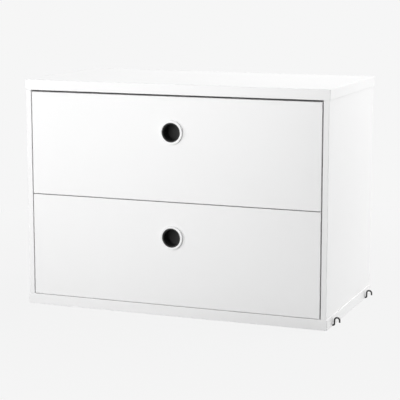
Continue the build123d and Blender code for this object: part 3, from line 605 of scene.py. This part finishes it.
# ---- Screws ----
def screw_tree():
    """Screws on points: a turned blank, less a cross recess, with a thread wound round it."""
    kinds = [
        ("Blank", "NodeSocketObject", None),
        ("Head Top", "NodeSocketFloat", 0.0015),
        ("Core Radius", "NodeSocketFloat", 0.0016),
        ("Thread Length", "NodeSocketFloat", 0.006),
        ("Thread Pitch", "NodeSocketFloat", 0.0012),
        ("Thread Depth", "NodeSocketFloat", 0.0003),
        ("Recess Width", "NodeSocketFloat", 0.0031),
        ("Recess Blade", "NodeSocketFloat", 0.0006),
        ("Recess Depth", "NodeSocketFloat", 0.0009),
        ("Seed", "NodeSocketInt", 0),
        ("Material", "NodeSocketMaterial", None),
    ]
    tree, given = new_tree("screws_on_points", kinds)
    blank = add_node(tree, "GeometryNodeObjectInfo", {"Object": given["Blank"]})
    depth = maths(tree, "MULTIPLY", given["Recess Depth"], 2.0)
    top = add_node(tree, "ShaderNodeCombineXYZ", {"Z": given["Head Top"]})
    blades = []
    for wide, narrow in (("X", "Y"), ("Y", "X")):
        sizes = {wide: given["Recess Width"], narrow: given["Recess Blade"], "Z": depth}
        size = add_node(tree, "ShaderNodeCombineXYZ", sizes)
        blade = add_node(tree, "GeometryNodeMeshCube", {"Size": size.outputs[0]})
        moved = add_node(
            tree, "GeometryNodeTransform", {"Geometry": blade.outputs["Mesh"], "Translation": top.outputs[0]}
        )
        blades.append(moved.outputs["Geometry"])
    cut = add_node(tree, "GeometryNodeMeshBoolean", operation="DIFFERENCE", solver="EXACT")
    feed(tree, cut.inputs["Mesh 1"], blank.outputs["Geometry"])
    for blade in blades:
        feed(tree, cut.inputs["Mesh 2"], blade)
    helix = add_node(
        tree,
        "GeometryNodeCurveSpiral",
        {
            "Resolution": 20,
            "Rotations": maths(tree, "DIVIDE", given["Thread Length"], given["Thread Pitch"]),
            "Start Radius": given["Core Radius"],
            "End Radius": given["Core Radius"],
            "Height": given["Thread Length"],
        },
    )
    ridge = add_node(
        tree,
        "GeometryNodeCurvePrimitiveCircle",
        {"Resolution": 3, "Radius": given["Thread Depth"]},
    )
    thread = add_node(
        tree,
        "GeometryNodeCurveToMesh",
        {"Curve": helix.outputs["Curve"], "Profile Curve": ridge.outputs["Curve"], "Fill Caps": True},
    )
    down = maths(tree, "MULTIPLY", given["Thread Length"], -1.0)
    below = add_node(tree, "ShaderNodeCombineXYZ", {"Z": down})
    wound = add_node(
        tree,
        "GeometryNodeTransform",
        {"Geometry": thread.outputs["Mesh"], "Translation": below.outputs[0]},
    )
    screw = add_node(tree, "GeometryNodeJoinGeometry")
    feed(tree, screw.inputs[0], cut.outputs["Mesh"])
    feed(tree, screw.inputs[0], wound.outputs["Geometry"])
    placed = put_on_points(tree, given["Geometry"], screw.outputs["Geometry"], given["Seed"])
    finish_tree(tree, placed, given["Material"])
    return tree


def turned_blank(outline):
    """A blank along -Z with its clamping face at z = 0, from (radius, z) points."""
    mesh = lathe(outline, Vector((0, 0, 0)), 40)
    for vert in mesh.vertices:
        x, along, z = vert.co
        vert.co = (x, -z, along)
    blank = bpy.data.objects.new("blank", mesh)
    bpy.context.scene.collection.objects.link(blank)
    return blank


def screw_spots(node, aim_of, head_height):
    """Where each screw of a node clamps, and the way that its head looks."""
    spots = []
    for low, high in islands(node):
        middle = (low + high) / 2
        aim = Vector(aim_of(middle))
        half_length = abs((high - low).dot(aim)) / 2
        spots.append((middle + aim * (half_length - head_height), aim))
    return spots


def make_screws(context, node, tree, aim_of, shank, material, sunk=False):
    """Makes every screw of a CAD node; aim_of gives the way that a head looks from its place."""
    sizes = context.scene.chest_fasteners
    head_height = 0.0 if sunk else sizes.pan_head
    spots = screw_spots(node, aim_of, head_height)
    low, high = islands(node)[0]
    extents = sorted(high - low)
    head = extents[0] / 2
    below = extents[2] - head_height
    if sunk:
        outline = [(0, 0), (head - BREAK, 0), (head, -BREAK), (shank, shank - head)]
    else:
        crown = rounded((0, head_height), (head, head_height), (head, 0), head_height * 0.6, 6)
        outline = [(0, head_height)] + crown + [(head, BREAK), (head - BREAK, 0), (shank, 0)]
    outline += [(shank, sizes.point - below), (shank * 0.12, -below + BREAK), (0, -below)]
    blank = turned_blank(outline)
    narrow = min(1.0, head / FULL_HEAD)
    values = {
        "Blank": blank,
        "Head Top": head_height,
        "Core Radius": shank - sizes.thread * 0.55,
        "Thread Length": below - sizes.point,
        "Thread Pitch": sizes.pitch,
        "Thread Depth": sizes.thread * 0.5,
        "Recess Width": sizes.recess * narrow,
        "Recess Blade": sizes.recess_blade * narrow,
        "Recess Depth": sizes.recess_depth,
        "Seed": sizes.seed,
        "Material": material,
    }
    mesh = grow(spots_mesh(spots), tree, values)
    bpy.data.objects.remove(blank)
    return set_piece(f"{node}_made", mesh, material, node)


# ---- Operators ----
class CHEST_OT_boards(bpy.types.Operator):
    """Lacquer the cabinet's boards and sides and the two drawer fronts"""

    bl_idname = "chest.boards"
    bl_label = "Lacquered Boards"

    def execute(self, context):
        material = lacquer_finish(context.scene.chest_finishes.lacquer)
        names = ["top_panel", "bottom_panel"]
        names += [f"{hand}_side_panel" for hand in HANDS]
        names += [f"{level}_drawer_front" for level in LEVELS]
        dress(names, material)
        return {"FINISHED"}


class CHEST_OT_back(bpy.types.Operator):
    """Paint the cabinet's back"""

    bl_idname = "chest.back"
    bl_label = "Back"

    def execute(self, context):
        dress(["back_panel"], hardboard_finish(context.scene.chest_finishes.back))
        return {"FINISHED"}


class CHEST_OT_boxes(bpy.types.Operator):
    """Finish the drawer boxes: their sides, backs and bottoms"""

    bl_idname = "chest.boxes"
    bl_label = "Drawer Boxes"

    def execute(self, context):
        names = []
        for level in LEVELS:
            names += [f"{level}_{hand}_box_side" for hand in HANDS]
            names += [f"{level}_box_back", f"{level}_box_bottom"]
        dress(names, box_finish(context.scene.chest_finishes.box))
        return {"FINISHED"}


class CHEST_OT_pulls(bpy.types.Operator):
    """Turn the white pull rings and the black finger cups behind them"""

    bl_idname = "chest.pulls"
    bl_label = "Finger Pulls"

    def execute(self, context):
        finishes = context.scene.chest_finishes
        sizes = context.scene.chest_pulls
        white = ring_finish(finishes.ring)
        black = cup_finish(finishes.cup)
        for level in LEVELS:
            ring = lathe(self.ring_outline(level, sizes), self.centre(level), sizes.sides)
            set_piece(f"{level}_ring_turned", ring, white, f"{level}_pull_ring")
            cup = lathe(self.cup_outline(level, sizes), self.centre(level), sizes.sides)
            set_piece(f"{level}_cup_turned", cup, black, f"{level}_pull_cup")
        return {"FINISHED"}

    def centre(self, level):
        low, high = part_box(f"{level}_pull_ring")
        return (low + high) / 2

    def ring_outline(self, level, sizes):
        """A ring's section, closed round from its bore."""
        low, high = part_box(f"{level}_pull_ring")
        front_face_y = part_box(f"{level}_drawer_front")[0].y
        rim = (high.x - low.x) / 2
        outer = rounded((sizes.bore, low.y), (rim, low.y), (rim, front_face_y), sizes.outer_round)
        inner = rounded((sizes.bore, high.y), (sizes.bore, low.y), (rim, low.y), sizes.inner_round, 4)
        seat = [(rim, front_face_y), (sizes.spigot, front_face_y), (sizes.spigot, high.y)]
        return inner + outer + seat + [(sizes.bore, high.y)]

    def cup_outline(self, level, sizes):
        """A cup's section, from the middle of its floor round the lip to the middle behind."""
        low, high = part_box(f"{level}_pull_cup")
        flange_radius = (high.x - low.x) / 2
        front_back_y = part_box(f"{level}_drawer_front")[1].y
        flange_end_y = front_back_y + sizes.flange
        floor_y = high.y - sizes.floor
        lip_y = low.y + sizes.lip
        lip = rounded(
            (sizes.mouth, lip_y), (sizes.mouth, low.y), (sizes.cup_radius, low.y), sizes.lip / 4
        )
        floor_corner = rounded(
            (0, floor_y), (sizes.inside, floor_y), (sizes.inside, lip_y + sizes.undercut), sizes.floor_round
        )
        return (
            [(0, floor_y)]
            + floor_corner
            + [(sizes.inside, lip_y + sizes.undercut), (sizes.mouth, lip_y)]
            + lip
            + [
                (sizes.cup_radius, low.y),
                (sizes.cup_radius, front_back_y - sizes.neck),
                (sizes.spigot, front_back_y - sizes.neck),
                (sizes.spigot, front_back_y),
                (flange_radius, front_back_y),
                (flange_radius, flange_end_y),
                (sizes.tube, flange_end_y),
                (sizes.tube, high.y),
                (0, high.y),
            ]
        )


class CHEST_OT_hooks(bpy.types.Operator):
    """Bend the four wire hooks and cut their lugs"""

    bl_idname = "chest.hooks"
    bl_label = "Hooks"

    def execute(self, context):
        sizes = context.scene.chest_hooks
        material = wire_finish(context.scene.chest_finishes.wire)
        wire = self.wire_tree()
        beads = self.weld_tree()
        for end in ENDS:
            for hand in HANDS:
                node = f"{end}_{hand}_hook"
                self.make_hook(node, -1 if hand == "left" else 1, sizes, wire, beads, material)
        return {"FINISHED"}

    def make_hook(self, node, side, sizes, wire, beads, material):
        """One hook, made for the right side and mirrored for the left."""
        low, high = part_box(node)
        centre_y = (low.y + high.y) / 2
        start_x = low.x if side > 0 else -high.x
        tip_x = (high.x if side > 0 else -low.x) - sizes.wire
        lug_low = (start_x, centre_y - (high.y - low.y) / 2, low.z)
        path = self.wire_path(start_x, tip_x, centre_y, low.z, high.z, sizes)
        values = {"Wire Radius": sizes.wire, "Sides": sizes.sides, "Material": material}
        parts = [grow(path, wire, values), self.lug(lug_low, high.y - low.y, sizes)]
        seam = self.weld_seam(start_x, centre_y, low.z, sizes)
        values = {"Ripple": sizes.weld, "Step": sizes.weld_step, "Material": material}
        parts.append(grow(seam, beads, values))
        shape = bmesh.new()
        for mesh in parts:
            shape.from_mesh(mesh)
        if side < 0:
            for vert in shape.verts:
                vert.co.x = -vert.co.x
            bmesh.ops.reverse_faces(shape, faces=shape.faces)
        set_piece(f"{node}_bent", mesh_of(shape, node), material, node)

    def wire_path(self, start_x, tip_x, y, low_z, high_z, sizes):
        """Along under the board, up past its end, over and down again."""
        shank_z = low_z + sizes.wire
        leg_x = tip_x - sizes.spacing
        arc = sizes.spacing / 2
        arc_z = high_z - sizes.wire - arc
        turn = 4 * (math.sqrt(2) - 1) / 3
        knots = [
            ((start_x, shank_z), (0, 0), (arc, 0)),
            ((leg_x - sizes.bend, shank_z), (-arc, 0), (turn * sizes.bend, 0)),
            ((leg_x, shank_z + sizes.bend), (0, -turn * sizes.bend), (0, 0.1 * arc)),
            ((leg_x, arc_z), (0, -0.1 * arc), (0, turn * arc)),
            ((leg_x + arc, arc_z + arc), (-turn * arc, 0), (turn * arc, 0)),
            ((tip_x, arc_z), (0, turn * arc), (0, -0.1 * arc)),
            ((tip_x, arc_z - sizes.tip + sizes.tip_round), (0, 0.1 * arc), (0, -0.1 * sizes.tip_round)),
            ((tip_x, arc_z - sizes.tip), (0, 0.1 * sizes.tip_round), (0, 0)),
        ]
        curve = bpy.data.curves.new("wire", "CURVE")
        curve.dimensions = "3D"
        curve.resolution_u = 10
        spline = curve.splines.new("BEZIER")
        spline.bezier_points.add(len(knots) - 1)
        for point, (place, before, after) in zip(spline.bezier_points, knots):
            point.handle_left_type = "FREE"
            point.handle_right_type = "FREE"
            x, z = place
            point.co = (x, y, z)
            point.handle_left = (x + before[0], y, z + before[1])
            point.handle_right = (x + after[0], y, z + after[1])
        spline.bezier_points[-1].radius = (sizes.wire - sizes.tip_round) / sizes.wire
        return curve

    def wire_tree(self):
        """Sweeps a round wire along a path."""
        kinds = [
            ("Wire Radius", "NodeSocketFloat", 0.0015),
            ("Sides", "NodeSocketInt", 28),
            ("Material", "NodeSocketMaterial", None),
        ]
        tree, given = new_tree("wire_along_path", kinds)
        section = add_node(
            tree,
            "GeometryNodeCurvePrimitiveCircle",
            {"Resolution": given["Sides"], "Radius": given["Wire Radius"]},
        )
        wire = add_node(
            tree,
            "GeometryNodeCurveToMesh",
            {"Curve": given["Geometry"], "Profile Curve": section.outputs["Curve"], "Fill Caps": True},
        )
        finish_tree(tree, wire.outputs["Mesh"], given["Material"])
        return tree

    def weld_seam(self, start_x, y, low_z, sizes):
        """Two lines along the wire, where it meets the lug's upper face."""
        z = low_z + sizes.lug_thickness
        seam = bpy.data.meshes.new("seam")
        ends = [start_x + 2 * sizes.weld, start_x + sizes.lug - 2 * sizes.weld]
        points = [(x, y + offset, z) for offset in (-sizes.wire, sizes.wire) for x in ends]
        seam.from_pydata(points, [(0, 1), (2, 3)], [])
        return seam

    def weld_tree(self):
        """Sets a row of small beads along a seam."""
        kinds = [
            ("Ripple", "NodeSocketFloat", 0.0005),
            ("Step", "NodeSocketFloat", 0.0009),
            ("Material", "NodeSocketMaterial", None),
        ]
        tree, given = new_tree("weld_along_seam", kinds)
        line = add_node(tree, "GeometryNodeMeshToCurve", {"Mesh": given["Geometry"]})
        spots = add_node(
            tree,
            "GeometryNodeCurveToPoints",
            {"Curve": line.outputs["Curve"], "Length": given["Step"]},
            mode="LENGTH",
        )
        ripple = add_node(tree, "GeometryNodeMeshIcoSphere", {"Radius": given["Ripple"], "Subdivisions": 2})
        placed = add_node(
            tree,
            "GeometryNodeInstanceOnPoints",
            {"Points": spots.outputs["Points"], "Instance": ripple.outputs["Mesh"]},
        )
        finish_tree(tree, placed.outputs["Instances"], given["Material"])
        return tree

    def lug(self, low, width, sizes):
        """Rounded plate with two countersunk holes, from its low corner."""
        x, y, z = low
        middle = Vector((x + sizes.lug / 2, y + width / 2))
        offset = width * LUG_HOLE_SHARE
        shape = bmesh.new()
        outline = self.rounded_plate(middle, sizes.lug, width, sizes.lug_round)
        levels = {z: sizes.sink, z + sizes.lug_thickness: sizes.hole}
        loops = []
        for height, hole_radius in levels.items():
            rims = [outline]
            rims += [self.circle(middle.x, middle.y + side * offset, hole_radius) for side in (-1, 1)]
            made = [[shape.verts.new((px, py, height)) for px, py in rim] for rim in rims]
            edges = []
            for rim in made:
                edges += [shape.edges.new((a, b)) for a, b in zip(rim, rim[1:] + rim[:1])]
            bmesh.ops.triangle_fill(shape, edges=edges, use_beauty=True)
            loops.append(made)
        for under, over in zip(*loops):
            for index in range(len(under)):
                following = (index + 1) % len(under)
                shape.faces.new((under[index], under[following], over[following], over[index]))
        bmesh.ops.recalc_face_normals(shape, faces=shape.faces)
        return mesh_of(shape, "lug")

    def rounded_plate(self, middle, length_x, length_y, radius, steps=6):
        points = []
        for quarter, (side_x, side_y) in enumerate(((1, 1), (-1, 1), (-1, -1), (1, -1))):
            corner = (
                middle.x + side_x * (length_x / 2 - radius),
                middle.y + side_y * (length_y / 2 - radius),
            )
            for step in range(steps + 1):
                angle = math.pi / 2 * (quarter + step / steps)
                points.append((corner[0] + radius * math.cos(angle), corner[1] + radius * math.sin(angle)))
        return points

    def circle(self, x, y, radius, sides=28):
        angles = [2 * math.pi * step / sides for step in range(sides)]
        return [(x + radius * math.cos(angle), y + radius * math.sin(angle)) for angle in angles]


class CHEST_OT_runners(bpy.types.Operator):
    """Plate the ball runners' rails and finish their cages"""

    bl_idname = "chest.runners"
    bl_label = "Runners"

    def execute(self, context):
        finishes = context.scene.chest_finishes
        zinc = rolled_steel_finish("zinc_plated_strip", finishes.zinc, 0.26)
        spring = rolled_steel_finish("spring_strip", finishes.cage, 0.32)
        sides = [f"{level}_{hand}" for level in LEVELS for hand in HANDS]
        dress([f"{side}_{rail}_rail" for side in sides for rail in ("cabinet", "drawer")], zinc)
        dress([f"{side}_ball_cage" for side in sides], spring)
        return {"FINISHED"}


class CHEST_OT_balls(bpy.types.Operator):
    """Set the balls in their cages"""

    bl_idname = "chest.balls"
    bl_label = "Balls"

    def execute(self, context):
        material = ball_finish(context.scene.chest_finishes.ball)
        kinds = [
            ("Ball Radius", "NodeSocketFloat", 0.0022),
            ("Fineness", "NodeSocketInt", BALL_FINENESS),
            ("Material", "NodeSocketMaterial", None),
        ]
        tree, given = new_tree("balls_on_points", kinds)
        ball = add_node(
            tree,
            "GeometryNodeMeshIcoSphere",
            {"Radius": given["Ball Radius"], "Subdivisions": given["Fineness"]},
        )
        finish_tree(tree, put_on_points(tree, given["Geometry"], ball.outputs["Mesh"]), given["Material"])
        for level in LEVELS:
            for hand in HANDS:
                node = f"{level}_{hand}_balls"
                boxes = islands(node)
                radius = (boxes[0][1].z - boxes[0][0].z) / 2
                spots = [((low + high) / 2, (0, 0, 1)) for low, high in boxes]
                values = {"Ball Radius": radius, "Fineness": BALL_FINENESS, "Material": material}
                set_piece(f"{node}_ground", grow(spots_mesh(spots), tree, values), material, node)
        return {"FINISHED"}


class CHEST_OT_dowels(bpy.types.Operator):
    """Flute the dowels that join the boards and the drawer boxes"""

    bl_idname = "chest.dowels"
    bl_label = "Dowels"

    def execute(self, context):
        finishes = context.scene.chest_finishes
        sizes = context.scene.chest_fasteners
        material = beech_finish(finishes.beech_light, finishes.beech_dark)
        tree = self.dowel_tree()
        for node in ["carcass_dowels"] + [f"{level}_box_dowels" for level in LEVELS]:
            spots = []
            for low, high in islands(node):
                size = high - low
                aim = Vector([1.0 if size[axis] == max(size) else 0.0 for axis in range(3)])
                spots.append(((low + high) / 2, aim))
            path = self.dowel_path(max(size), min(size) / 2, sizes.dowel_chamfer)
            values = {
                "Path": path,
                "Radius": min(size) / 2,
                "Flute Depth": sizes.flute,
                "Flutes": sizes.flutes,
                "Seed": sizes.seed,
                "Material": material,
            }
            set_piece(f"{node}_fluted", grow(spots_mesh(spots), tree, values), material, node)
            bpy.data.objects.remove(path)
        return {"FINISHED"}

    def dowel_path(self, dowel_length, radius, chamfer):
        """A line along Z whose own radius narrows at the bevelled ends."""
        curve = bpy.data.curves.new("dowel", "CURVE")
        curve.dimensions = "3D"
        spline = curve.splines.new("POLY")
        spline.points.add(3)
        half = dowel_length / 2
        narrow = (radius - chamfer) / radius
        stations = [(-half, narrow), (chamfer - half, 1.0), (half - chamfer, 1.0), (half, narrow)]
        for point, (z, share) in zip(spline.points, stations):
            point.co = (0, 0, z, 1)
            point.radius = share
        path = bpy.data.objects.new("dowel", curve)
        bpy.context.scene.collection.objects.link(path)
        return path

    def dowel_tree(self):
        """Fluted dowels on points, each turned at random about its length."""
        kinds = [
            ("Path", "NodeSocketObject", None),
            ("Radius", "NodeSocketFloat", 0.003),
            ("Flute Depth", "NodeSocketFloat", 0.0002),
            ("Flutes", "NodeSocketInt", 18),
            ("Seed", "NodeSocketInt", 0),
            ("Material", "NodeSocketMaterial", None),
        ]
        tree, given = new_tree("dowels_on_points", kinds)
        path = add_node(tree, "GeometryNodeObjectInfo", {"Object": given["Path"]})
        core = maths(tree, "SUBTRACT", given["Radius"], given["Flute Depth"])
        section = add_node(
            tree,
            "GeometryNodeCurveStar",
            {"Points": given["Flutes"], "Inner Radius": core, "Outer Radius": given["Radius"]},
        )
        dowel = add_node(
            tree,
            "GeometryNodeCurveToMesh",
            {
                "Curve": path.outputs["Geometry"],
                "Profile Curve": section.outputs["Curve"],
                "Fill Caps": True,
            },
        )
        placed = put_on_points(tree, given["Geometry"], dowel.outputs["Mesh"], given["Seed"])
        finish_tree(tree, placed, given["Material"])
        return tree


class CHEST_OT_screws(bpy.types.Operator):
    """Drive every screw: runners, cups, drawer bottoms and hook lugs"""

    bl_idname = "chest.screws"
    bl_label = "Screws"

    def execute(self, context):
        sizes = context.scene.chest_fasteners
        material = screw_finish(context.scene.chest_finishes.screw)
        tree = screw_tree()
        downward = (0, 0, -1)
        make_screws(context, "cabinet_rail_screws", tree, self.inward, sizes.pan_shank, material)
        make_screws(context, "hook_screws", tree, lambda middle: downward, sizes.sunk_shank, material, True)
        for level in LEVELS:
            rail, cup, bottom = (f"{level}_{kind}_screws" for kind in ("drawer_rail", "cup", "bottom"))
            make_screws(context, rail, tree, self.outward, sizes.pan_shank, material)
            make_screws(context, cup, tree, lambda middle: (0, 1, 0), sizes.cup_shank, material)
            make_screws(context, bottom, tree, lambda middle: downward, sizes.sunk_shank, material, True)
        return {"FINISHED"}

    def outward(self, middle):
        return (math.copysign(1, middle.x), 0, 0)

    def inward(self, middle):
        return (-math.copysign(1, middle.x), 0, 0)


class CHEST_OT_stage(bpy.types.Operator):
    """Set the floor, the lamps, the surround and the camera"""

    bl_idname = "chest.stage"
    bl_label = "Studio"

    def execute(self, context):
        stage = context.scene.chest_stage
        context.scene.view_settings.view_transform = "Standard"
        self.make_world(context, stage)
        self.make_floor(context, stage)
        for name, (place, target, size) in LAMPS.items():
            self.make_lamp(context, f"{name}_lamp", place, target, size, getattr(stage, name))
        self.make_flag(context)
        self.make_camera(context, stage)
        return {"FINISHED"}

    def background_share(self, tree):
        """1 for camera, glossy and transmission rays, which see the pale background."""
        path = add_node(tree, "ShaderNodeLightPath")
        either = maths(tree, "MAXIMUM", path.outputs["Is Camera Ray"], path.outputs["Is Glossy Ray"])
        return maths(tree, "MAXIMUM", either, path.outputs["Is Transmission Ray"])

    def make_world(self, context, stage):
        """Soft light from all around, and the pale background that the camera sees."""
        world = bpy.data.worlds.new("surround")
        world.use_nodes = True
        tree = world.node_tree
        tree.nodes.clear()
        share = self.background_share(tree)
        strength = spread_out(tree, share, stage.surround, stage.background, 0.0, 1.0)
        sky = add_node(tree, "ShaderNodeBackground", {"Color": (1, 1, 1, 1), "Strength": strength})
        output = add_node(tree, "ShaderNodeOutputWorld")
        tree.links.new(sky.outputs["Background"], output.inputs["Surface"])
        context.scene.world = world

    def make_floor(self, context, stage):
        """A pale round floor. Its own shading fades into the background away from the chest."""
        shape = bmesh.new()
        bmesh.ops.create_circle(shape, cap_ends=True, segments=96, radius=FLOOR_RADIUS)
        mesh = mesh_of(shape, "studio_floor")
        material, tree, shader = new_finish("studio_floor", {"Roughness": 0.9, "Specular IOR Level": 0.0})
        pale = (stage.floor, stage.floor, stage.floor, 1.0)
        cloud = surface_grain(tree, (2.0, 2.0, 2.0))
        feed(tree, shader.inputs["Base Color"], blend_colours(tree, cloud, tint(pale, 0.99), pale))
        glow = add_node(
            tree, "ShaderNodeEmission", {"Color": (1, 1, 1, 1), "Strength": stage.background}
        )
        place = add_node(tree, "ShaderNodeTexCoord")
        distance = add_node(tree, "ShaderNodeVectorMath", operation="LENGTH")
        feed(tree, distance.inputs[0], place.outputs["Object"])
        fade = {
            "Value": distance.outputs["Value"],
            "From Min": SHADOW_NEAR,
            "From Max": SHADOW_FAR,
            "To Min": 1.0 - stage.shadow,
            "To Max": 1.0,
        }
        near = add_node(tree, "ShaderNodeMapRange", fade, interpolation_type="SMOOTHSTEP")
        share = maths(tree, "MULTIPLY", near.outputs["Result"], self.background_share(tree))
        mix = add_node(tree, "ShaderNodeMixShader", {0: share})
        tree.links.new(shader.outputs["BSDF"], mix.inputs[1])
        tree.links.new(glow.outputs["Emission"], mix.inputs[2])
        clear = add_node(tree, "ShaderNodeBsdfTransparent")
        ends = add_node(tree, "ShaderNodeMixShader", {0: self.see_through(tree)})
        tree.links.new(mix.outputs[0], ends.inputs[1])
        tree.links.new(clear.outputs["BSDF"], ends.inputs[2])
        output = next(node for node in tree.nodes if node.bl_idname == "ShaderNodeOutputMaterial")
        tree.links.new(ends.outputs[0], output.inputs["Surface"])
        mesh.materials.append(material)
        floor = bpy.data.objects.new("studio_floor", mesh)
        floor.location.z = -FLOOR_DROP
        context.scene.collection.objects.link(floor)

    def see_through(self, tree):
        """1 where the floor is seen from below, and for rays that start from what stands on it."""
        geometry = add_node(tree, "ShaderNodeNewGeometry")
        path = add_node(tree, "ShaderNodeLightPath")
        seen = path.outputs["Is Camera Ray"]
        below = maths(tree, "MULTIPLY", geometry.outputs["Backfacing"], seen)
        close = maths(tree, "LESS_THAN", path.outputs["Ray Length"], CONTACT)
        return maths(tree, "MAXIMUM", below, close)

    def make_lamp(self, context, name, place, target, size, power):
        light = bpy.data.lights.new(name, "AREA")
        light.shape = "DISK"
        light.size = size
        light.energy = power
        lamp = bpy.data.objects.new(name, light)
        lamp.location = place
        lamp.rotation_euler = (Vector(target) - Vector(place)).to_track_quat("-Z", "Y").to_euler()
        lamp.visible_camera = False
        context.scene.collection.objects.link(lamp)

    def make_flag(self, context):
        """A dark card at the front right, out of the camera's sight, that keeps stray light off."""
        shape = bmesh.new()
        bmesh.ops.create_grid(shape, x_segments=1, y_segments=1, size=FLAG_HALF_SIZE)
        mesh = mesh_of(shape, "studio_flag")
        material, tree, shader = new_finish("studio_flag", {"Roughness": 0.9, "Specular IOR Level": 0.0})
        weave = surface_grain(tree, (300.0, 300.0, 300.0))
        dark = (0.03, 0.03, 0.03)
        feed(tree, shader.inputs["Base Color"], blend_colours(tree, weave, tint(dark, 0.8), tint(dark)))
        mesh.materials.append(material)
        flag = bpy.data.objects.new("studio_flag", mesh)
        flag.location = FLAG_PLACE
        flag.rotation_euler = (math.pi / 2, 0.0, FLAG_TURN)
        flag.visible_camera = False
        context.scene.collection.objects.link(flag)

    def make_camera(self, context, stage):
        lens = bpy.data.cameras.new("camera")
        lens.sensor_width = 36.0
        lens.lens = stage.lens
        lens.clip_end = 100.0
        camera = bpy.data.objects.new("camera", lens)
        camera.location = stage.camera_place
        camera.rotation_euler = (math.pi / 2 - stage.camera_pitch, 0.0, stage.camera_turn)
        context.scene.collection.objects.link(camera)
        context.scene.camera = camera


OPERATORS = (
    CHEST_OT_boards,
    CHEST_OT_back,
    CHEST_OT_boxes,
    CHEST_OT_pulls,
    CHEST_OT_hooks,
    CHEST_OT_runners,
    CHEST_OT_balls,
    CHEST_OT_dowels,
    CHEST_OT_screws,
    CHEST_OT_stage,
)


class CHEST_PT_panel(bpy.types.Panel):
    """Lists the chest's pieces in the order in which they are made"""

    bl_idname = "CHEST_PT_panel"
    bl_label = "Storage Chest"
    bl_space_type = "VIEW_3D"
    bl_region_type = "UI"
    bl_category = "Chest"

    def draw(self, context):
        for operator in OPERATORS:
            self.layout.operator(operator.bl_idname)
        for name, group in GROUPS.items():
            box = self.layout.box()
            for field in group.__annotations__:
                box.prop(getattr(context.scene, name), field)


def register():
    for group in GROUPS.values():
        bpy.utils.register_class(group)
    for name, group in GROUPS.items():
        setattr(bpy.types.Scene, name, PointerProperty(type=group))
    for operator in OPERATORS:
        bpy.utils.register_class(operator)
    bpy.utils.register_class(CHEST_PT_panel)


def unregister():
    bpy.utils.unregister_class(CHEST_PT_panel)
    for operator in reversed(OPERATORS):
        bpy.utils.unregister_class(operator)
    for name in GROUPS:
        delattr(bpy.types.Scene, name)
    for group in GROUPS.values():
        bpy.utils.unregister_class(group)


def main():
    register()
    for operator in OPERATORS:
        group, name = operator.bl_idname.split(".")
        getattr(getattr(bpy.ops, group), name)()


if __name__ == "__main__":
    main()
